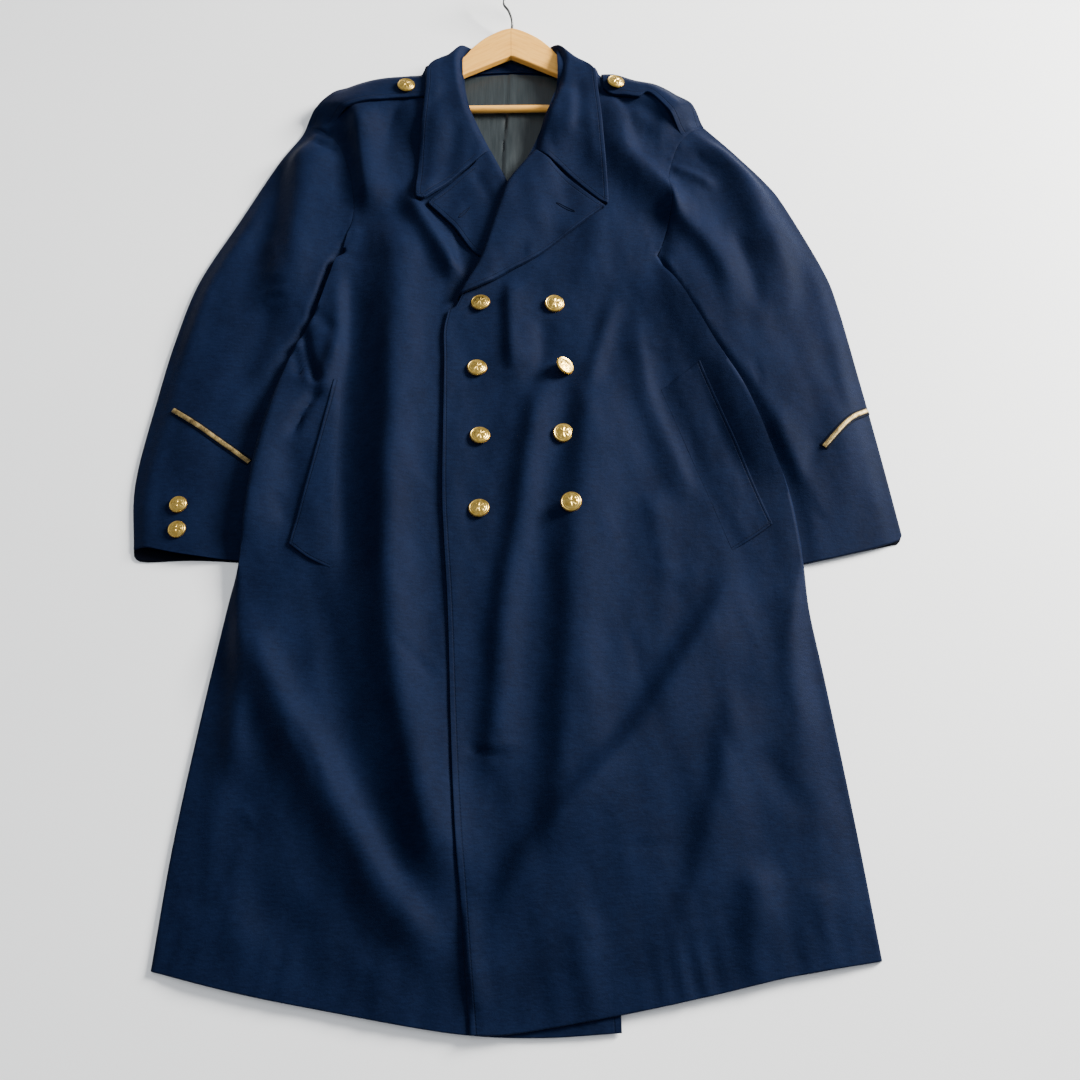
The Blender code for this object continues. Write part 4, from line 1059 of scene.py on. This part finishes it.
def join_gorge(grid, height, distance, lapel):
    """Brings a leaf level with the lapel along the seam that joins them inside of the notch."""
    reach = grid[0] + 2.0 * (grid[0] - grid[3]) / np.linalg.norm(grid[0] - grid[3], axis=1)[:, None]
    level = np.array([height_below(x, y, [lapel]) for x, y in reach])
    found = level > 0
    level = np.interp(np.arange(len(level)), np.flatnonzero(found), level[found])
    level = np.convolve(np.pad(level, 4, mode="edge"), np.ones(9) / 9, mode="valid")
    joined = 1 - ease((np.abs(grid[..., 0]) - NOTCH_END + 6) / 14.0)
    weight = joined * (1 - ease(distance / 26.0))
    return height + (level[None] - height[:1]) * weight


def edge_or_seam(grid):
    """Rounding of the edges of the notch: open outside of its end, a flush seam inside."""
    return 0.45 + 0.95 * ease((np.abs(grid[..., 0]) - NOTCH_END) / 5.0)


COLLAR_FOLDS = (
    (((-92, 500), (-98, 430), (-104, 370)), 12, 14, 1.6),
    (((-70, 470), (-74, 420), (-86, 370)), 10, 12, -1.2),
    (((74, 545), (76, 480), (70, 430)), 9, 9, 1.5),
    (((90, 540), (88, 480), (84, 440)), 7, 8, -1.5),
    (((104, 520), (104, 450), (106, 390)), 8, 9, 1.2),
    (((50, 500), (48, 460), (50, 420)), 8, 8, -1.0),
)
LAPEL_FOLDS = (
    (((-54, 398), (-36, 366), (-20, 330)), 7, 9, -1.8),
    (((-86, 322), (-72, 330), (-60, 345)), 8, 8, 0.7),
    (((-30, 215), (-8, 224), (16, 232)), 7, 9, -1.8),
    (((-46, 204), (-14, 216), (18, 240)), 8, 6, 1.6),
    (((-30, 250), (2, 262), (24, 262)), 12, 12, -1.4),
    (((20, 300), (40, 330), (72, 340)), 16, 16, 1.2),
)


def make_collar():
    """Both front leaves of the collar."""
    leaf("left", ((-117, 341), (-107, 343.5), (-84, 370.5), (-51, 405), (-27, 430)),
         ((-117, 341), (-121, 352), (-119, 430), (-112, 512), (-110, 550), (-88, 575), (-72, 592)),
         ((-27, 430), (-34, 446), (-44, 470), (-54, 498), (-60.5, 530),
          (-63, 555), (-63, 576), (-58, 595), (-50, 607)),
         ((-72, 592), (-62, 605), (-50, 607)), 21)
    leaf("right", ((118, 337.5), (110, 343), (88, 367), (56, 401), (28.5, 423.5)),
         ((118, 337.5), (122, 347), (119, 440), (114, 516), (110, 548), (86, 571), (70, 588)),
         ((28.5, 423.5), (41.5, 475.5), (52, 504), (60, 530), (63.5, 555), (64, 572), (60, 590), (49, 606)),
         ((70, 588), (60, 602), (49, 606)), 22)


def round_lapel(grid, height, away):
    """Rounds a lapel's two free edges and its edge along the collar."""
    for edge in ("left", "bottom"):
        height = round_edge(height, away[edge], DOUBLE_ROUND)
    return round_edge(height, away["top"], edge_or_seam(grid))


def make_lapel_left():
    """The lapel on the viewer's left, which turns over a soft roll."""
    low = ((-105, 337), (-74, 305), (-41, 262), (0, 268))
    high = ((-104.5, 341.5), (-81, 367), (-50, 400.5), (-45, 409), (-26.6, 429.4))
    roll = ((0, 268), (14, 316), (4, 356), (-9, 388), (-26.6, 429.4))
    grid = quad_patch(low, high, STEP_SMALL, right=roll)
    shape = LAPEL_RISE + ripple(grid, 31, 34, 0.5) + fold_height(grid, LAPEL_FOLDS)
    height = rest(grid, shape, DOUBLE, ["back", "lining", "hanger", "hanger_bar", "under_front"], soft=4)
    away = edge_distances(grid)
    height = height + 1.0 * bell(away["right"], 16.0) + 1.6 * bell(away["top"], 14.0)
    height = round_edge(round_lapel(grid, height, away), away["right"], LAPEL_ROLL, low=LAPEL_ROLL_LOW)
    cloth("lapel_left", grid, height, DOUBLE, stitched=("bottom", "left", "top"), rests_on=["under_front"],
          unstitched=by_gorge(grid, away["top"]))


def make_lapel_right():
    """The lapel of the upper front; its long roll comes down on the other lapel and the lining."""
    low = ((116, 331), (72, 293.4), (30, 256.3), (-2.6, 234.5), (-33, 212.8), (-57, 200.4), (-66, 196))
    high = ((117, 334), (86.5, 362.8), (55, 397.2), (48, 405), (28, 422.5))
    roll = ((-66, 196), (-62, 206), (-39, 255), (-19, 327), (-4.2, 375), (10.8, 399), (28, 422.5))
    grid = quad_patch(low, high, STEP_SMALL, right=roll)
    away = edge_distances(grid)
    shape = LAPEL_RISE + ripple(grid, 33, 38, 0.5) + fold_height(grid, LAPEL_FOLDS)
    height = rest(grid, shape, DOUBLE, ["under_front", "over_front", "lapel_left"], soft=4)
    height = height + 2.5 * bell(away["right"], 50.0)
    beneath = under(grid, ["under_front", "lapel_left", "lining"], 1.0) + DOUBLE + LAYER
    height = round_edge(height, away["right"], 7.0, low=beneath)
    height = round_lapel(grid, height, away)
    cloth("lapel_right", grid, height, DOUBLE, stitched=("bottom", "left", "top"), rests_on=["over_front"],
          unstitched=by_gorge(grid, away["top"]))


# ---------------------------------------------------------------- straps, welts and braid

def round_free(height, away, sewn, radius):
    """Rounds every edge but the one that is sewn down."""
    for edge, distance in away.items():
        if edge != sewn:
            height = round_edge(height, distance, radius)
    return height


def laid_strip(node, grid, below, wall, flush=None, **options):
    """A strip that lies on the piece below; its flush side is sewn down flat."""
    height = rest(grid, np.full(grid.shape[:2], 1.0), wall, [below], gap=SEAM, reach=1.5)
    away = edge_distances(grid)
    if flush:
        sewn = (wall + SEAM - 0.1) * (1 - ease(away[flush] / 22.0))
        height = height - sewn + 0.9 * ease(away[flush] / 40.0)
    height = round_free(height, away, flush, min(1.0, wall * 0.6))
    cloth(node, grid, height, wall, rests_on=[below], **options)


def strap(side, low, high, shoulder, stitched):
    """Shoulder strap: it falls with the shoulder and runs flat into the armhole seam at its outer end."""
    grid = quad_patch(low, high, STEP_SMALL)
    names = ["over_front", "under_front", "top_sleeve_" + side]
    below = under(grid, names, 0.0)
    raised = rest(grid, np.full(grid.shape[:2], 1.0), DOUBLE, names, gap=SEAM, reach=1.5, soft=2)
    raised = below_roof(raised, np.maximum(shoulder_roof(grid, shoulder), below) + DOUBLE + SEAM + 0.6)
    away = edge_distances(grid)
    height = below + 0.2 + (raised - below - 0.2) * ease(away[side] / 30.0)
    height = round_free(height, away, side, 1.0)
    cloth("epaulette_" + side, grid, height, DOUBLE, rests_on=names[:1], stitched=stitched)


def make_straps():
    """The left strap runs on under the collar, the right one ends beside it."""
    strap("left", ((-236, 470), (-220, 482), (-188, 494), (-149, 502), (-104, 505)),
          ((-265, 481), (-252, 508), (-228, 531), (-198, 547), (-139, 557), (-106, 560)), SHOULDER_L,
          ("bottom", "top"))
    strap("right", ((121, 515), (131, 505), (149, 502), (166, 499), (179, 506), (199, 482), (221, 448)),
          ((120, 552), (127, 557), (166, 546), (193, 538), (218, 520), (236, 498), (249, 472)), SHOULDER_R,
          ("bottom", "top", "left"))


def make_welts():
    """Welts of the side pockets, sewn down along their inner sides."""
    for side, below, sewn, low, high in (
            ("left", "under_front", "right", ((-245, -124), (-222, -141), (-199, -152)),
             ((-208, 84), (-204, 84), (-200, 84))),
            ("right", "over_front", "left", ((238, -138), (261, -124), (284, -108)),
             ((172, 66), (196, 82), (218, 99)))):
        laid_strip("pocket_welt_" + side, quad_patch(low, high, STEP_SMALL), below, 1.6, sewn,
                   stitched=(side, "bottom"), inset=3.5)


BRAID_LINES = {"left": ((-391, 46), (-345, 14), (-299, -19)), "right": ((410, 38), (384, 21), (352, -12))}
BRAID_HALF, BACKING_HALF, BRAID_ROWS = 2.7, 5.1, 13


def strip_grid(points, half, step, across):
    """Points of a strip along the middle line, across it from its left side to its right."""
    middle = at(points, np.linspace(0, 1, max(3, round(length_of(points) / step))))
    return np.stack([shifted(middle, -half * k) for k in np.linspace(-1, 1, across)])


def make_braids():
    """Gold braid woven in chevrons along the middle of a dark backing strip."""
    for name, points in BRAID_LINES.items():
        backing = "braid_" + name
        laid_strip(backing, strip_grid(points, BACKING_HALF, 2.0, 9), "top_sleeve_" + name, 0.9,
                   material=BACKING_MAT)
        grid = strip_grid(points, BRAID_HALF, 0.5, BRAID_ROWS)
        rows = np.abs(np.linspace(-1, 1, BRAID_ROWS))[:, None]
        along = np.linspace(0, length_of(points), grid.shape[1])[None]
        weave = 0.35 * np.abs(np.sin((along + rows * BRAID_HALF) * math.pi / 2.2))
        crown = 0.9 * np.sqrt(np.clip(1 - rows ** 2, 0, 1)) + weave
        top = under(grid, [backing], 0.5) + 0.25 + crown
        mesh = wall_mesh("gold_braid_" + name, grid, top, 0.5)
        mesh.shade_smooth()
        mesh.materials.append(BRAID_MAT)
        add_piece(mesh.name, mesh)


# ---------------------------------------------------------------- buttons

FRONT_BUTTONS = ((-38.5, 189.5), (-42, 98), (-38, 8), (-38, -84),
                 (50.5, 187.5), (60, 97), (57, 8), (63.5, -83))
# Turns of the front buttons about x and y, in degrees
BUTTON_TILTS = ((-9, -4), (-9, 3), (-12, 4), (-9, -3), (3, 5), (-8, 34), (3, 3), (4, -4))
RINGS, TURNS = 30, 72
FACE = 3.0              # height of a button's face over the cloth
SHANK = 2.6             # radius of a button's shank
HOLE_HALF = 1.5         # half width of a worked buttonhole


def button_profile(share, turn):
    """Height of a button's face: a low dome, a raised rim and a plain rosette."""
    dome = 2.0 * (1 - share ** 2)
    rim = 0.70 * bell(share - 0.90, 0.060)
    inner_ring = 0.30 * bell(share - 0.70, 0.035)
    petals = 0.55 * ease((0.62 - share) / 0.12) * ease(share / 0.16) * (0.5 + 0.5 * np.cos(8 * turn))
    boss = 0.55 * ease((0.17 - share) / 0.07)
    fall = -1.1 * ease((share - 0.955) / 0.045)
    return FACE + dome + rim + inner_ring + petals + boss + fall


def make_button(name, x, y, diameter, names, tilt):
    """Domed button on its shank, turned by the tilt in degrees about x and y."""
    radius = diameter / 2
    turn = np.linspace(0, 2 * math.pi, TURNS, endpoint=False)
    shares = np.sqrt(np.linspace(0, 1, RINGS))[1:]
    circles = [(radius * share, button_profile(share, turn)) for share in shares]
    circles += [(r, np.full(TURNS, z)) for r, z in ((radius, FACE - 0.9), (radius - 0.6, FACE - 1.4),
                                                    (SHANK, FACE - 1.4), (SHANK, 0.0))]
    form = bmesh.new()
    centre = form.verts.new((0, 0, button_profile(0.0, 0.0)))
    rings = [[form.verts.new((r * math.cos(a), r * math.sin(a), z)) for a, z in zip(turn, heights)]
             for r, heights in circles]
    foot = form.verts.new((0, 0, 0))
    for k in range(TURNS):
        n = (k + 1) % TURNS
        form.faces.new((centre, rings[0][k], rings[0][n]))
        form.faces.new((foot, rings[-1][n], rings[-1][k]))
        for low, high in zip(rings, rings[1:]):
            form.faces.new((low[k], high[k], high[n], low[n]))
    seat = under(np.array([[(x, y)]], float), names, 2.5)[0, 0] + 0.05
    lean = math.radians(math.hypot(*tilt))
    seat += max(0.0, radius * math.sin(lean) - 2.0)
    turned = Matrix.Rotation(math.radians(tilt[0]), 4, "X") @ Matrix.Rotation(math.radians(tilt[1]), 4, "Y")
    form.transform(Matrix.Scale(MM, 4) @ Matrix.Translation((x, y, seat)) @ turned)
    mesh = bpy.data.meshes.new(name + "_gilt")
    fill_mesh(mesh, form)
    dress(mesh, GILT_MAT, 60)
    add_piece(mesh.name, mesh, name)


def make_buttons():
    """Eight buttons on the front, two on the left cuff and one on each strap."""
    for number, ((x, y), tilt) in enumerate(zip(FRONT_BUTTONS, BUTTON_TILTS), 1):
        make_button(f"front_button_{number}", x, y, 23.5, ["over_front", "lapel_right"], tilt)
    for number, (x, y) in enumerate(((-371, -74), (-369, -104)), 1):
        make_button(f"cuff_button_{number}", x, y, 20.0, ["top_sleeve_left"], (2, -4))
    make_button("strap_button_left", -137.5, 521, 22.5, ["epaulette_left"], (-4, 5))
    make_button("strap_button_right", 137, 522, 22.5, ["epaulette_right"], (-8, 10))


def make_buttonholes():
    """Worked buttonholes near the corners of the lapels."""
    turn = np.linspace(0, 2 * math.pi, 60, endpoint=False)
    for side, start, end in (("left", (-66, 317), (-53, 333)), ("right", (56, 336), (79, 323))):
        half = (np.array(end, float) - start) / 2
        across = HOLE_HALF * np.array((-half[1], half[0])) / np.linalg.norm(half)
        ring = start + half + np.outer(np.cos(turn), half) + np.outer(np.sin(turn), across)
        path = [(x, y, height_below(x, y, ["lapel_" + side]) + 0.1) for x, y in ring]
        wire("buttonhole_" + side, path, 1.1, THREAD_MAT, closed=True)


# ---------------------------------------------------------------- hanger

HANGER_LOW, HANGER_THICK = 12.0, 9.0
BAR_DIAMETER, BAR_Y, BAR_HALF = 9.8, 498.0, 131.0
BAR_LOW = 7.0           # height of the bar's lower side
BAR_ACROSS = (-4.8, -2.4, 0.0, 2.4, 4.8)
HOOK_STEM = [(1, 635.3), (1.5, 650), (-3, 663), (-9, 671)]
HOOK_CENTRE, HOOK_RADIUS = (11, 694), 24.0
HOOK_BEND_Y, HOOK_RISE = 645, 0.40      # where the wire starts to rise from the floor, and its slope
HANGER_TOP = ((-206, 498), (-196, 506), (-139, 532), (-90, 560), (-66, 580), (-50, 602), (-30, 621),
              (0, 635), (30, 621), (50, 602), (66, 580), (90, 560), (139, 530), (192, 502), (202, 494))
HANGER_FOOT = ((-206, 476), (-192, 479), (-139, 507), (-60, 553), (0, 584.5),
               (60, 551), (139, 505), (188, 475), (202, 472))


def make_hanger():
    """Two wooden arms with softened edges that meet at a raised neck."""
    u, v = np.linspace(0, 1, 105), np.linspace(0, 1, 9)
    ends = [np.linspace(HANGER_FOOT[k], HANGER_TOP[k], len(v)) for k in (0, -1)]
    grid = patch(resampled(np.array(HANGER_FOOT, float), u), at(HANGER_TOP, u), *ends, u, v)
    top = np.full(grid.shape[:2], HANGER_LOW + HANGER_THICK)
    remember("hanger", grid, top)
    mesh = wall_mesh("hanger_wood", grid, top, HANGER_THICK)
    dress(mesh, WOOD_MAT, 50)
    bevel = add_piece(mesh.name, mesh, "hanger").modifiers.new("edges", "BEVEL")
    bevel.width = 1.6 * MM
    bevel.segments = 3
    bevel.angle_limit = math.radians(50)


def make_bar():
    """Round wooden bar between the hanger's arms."""
    radius = BAR_DIAMETER / 2
    form = bmesh.new()
    bmesh.ops.create_cone(form, cap_ends=True, segments=40, radius1=radius * MM, radius2=radius * MM,
                          depth=2 * BAR_HALF * MM)
    middle = (0, BAR_Y * MM, (BAR_LOW + radius) * MM)
    form.transform(Matrix.Translation(middle) @ Matrix.Rotation(math.pi / 2, 4, "Y"))
    mesh = bpy.data.meshes.new("hanger_bar_wood")
    fill_mesh(mesh, form)
    dress(mesh, BAR_MAT, 50)
    add_piece(mesh.name, mesh, "hanger_bar")
    grid = np.stack([np.linspace((-BAR_HALF, BAR_Y + k), (BAR_HALF, BAR_Y + k), 40) for k in BAR_ACROSS])
    top = BAR_LOW + radius + np.sqrt(radius ** 2 - np.array(BAR_ACROSS) ** 2.0)
    remember("hanger_bar", grid, np.repeat(top[:, None], 40, axis=1))


def make_hook():
    """Wire hook: a stem out of the neck, a slight bend to the left, then a loop to the right."""
    loop = [(HOOK_CENTRE[0] + HOOK_RADIUS * math.cos(math.radians(a)),
             HOOK_CENTRE[1] + HOOK_RADIUS * math.sin(math.radians(a))) for a in range(215, -31, -15)]
    path = [(x, y, HANGER_LOW + HANGER_THICK / 2 + HOOK_RISE * max(0.0, y - HOOK_BEND_Y))
            for x, y in smooth_line(HOOK_STEM + loop, 6)]
    wire("hanger_hook_wire", path, 3.4, STEEL_MAT, node="hanger_hook")


# ---------------------------------------------------------------- floor, light and camera

PHOTO_FOCAL_PX, PHOTO_SIZE_PX, SENSOR_MM = 1085.0, 1080.0, 36.0
CAMERA_PLACE = (0.0222, -0.5953, 1.0976)
CAMERA_TURN = (23.527, 0.012, -0.82)    # degrees
SKY_COLOUR, SKY_STRENGTH = (0.86, 0.91, 1.0, 1), 0.40


def make_set():
    """Floor, lights and the camera that sees what the photograph shows."""
    bpy.ops.mesh.primitive_plane_add(size=12)
    floor = bpy.context.object
    floor.name = "floor"
    floor.location = (0, 0, -0.0005)
    floor.data.materials.append(pale_floor("pale_floor"))
    for name, place, size, power, colour in (
            ("window", (2.55, 1.35, 1.45), 1.15, 450, (1.0, 0.985, 0.96)),
            ("sky", (-0.2, 0.2, 3.0), 2.6, 42, (0.95, 0.97, 1.0))):
        data = bpy.data.lights.new(name, "AREA")
        data.shape = "SQUARE"
        data.size = size
        data.energy = power
        data.color = colour
        lamp = bpy.data.objects.new(name, data)
        lamp.location = place
        lamp.rotation_euler = (Vector((0, 0, 0)) - Vector(place)).to_track_quat("-Z", "Y").to_euler()
        lamp.visible_glossy = name == "window"
        bpy.context.scene.collection.objects.link(lamp)
    world = bpy.data.worlds.new("studio")
    world.use_nodes = True
    world.node_tree.nodes["Background"].inputs["Color"].default_value = SKY_COLOUR
    world.node_tree.nodes["Background"].inputs["Strength"].default_value = SKY_STRENGTH
    bpy.context.scene.world = world
    data = bpy.data.cameras.new("camera")
    data.sensor_width = SENSOR_MM
    data.lens = SENSOR_MM * PHOTO_FOCAL_PX / PHOTO_SIZE_PX
    camera = bpy.data.objects.new("camera", data)
    camera.location = CAMERA_PLACE
    camera.rotation_euler = [math.radians(a) for a in CAMERA_TURN]
    bpy.context.scene.collection.objects.link(camera)
    bpy.context.scene.camera = camera


def main():
    """Every piece after the ones that it lies on."""
    make_set()
    make_sleeves()
    make_collar_back()
    make_back()
    make_lining()
    make_neck_band()
    make_hanger()
    make_bar()
    make_hook()
    make_under_front()
    make_lapel_left()
    make_over_front()
    make_lapel_right()
    make_welts()
    make_straps()
    make_collar()
    make_braids()
    make_buttons()
    make_buttonholes()


main()
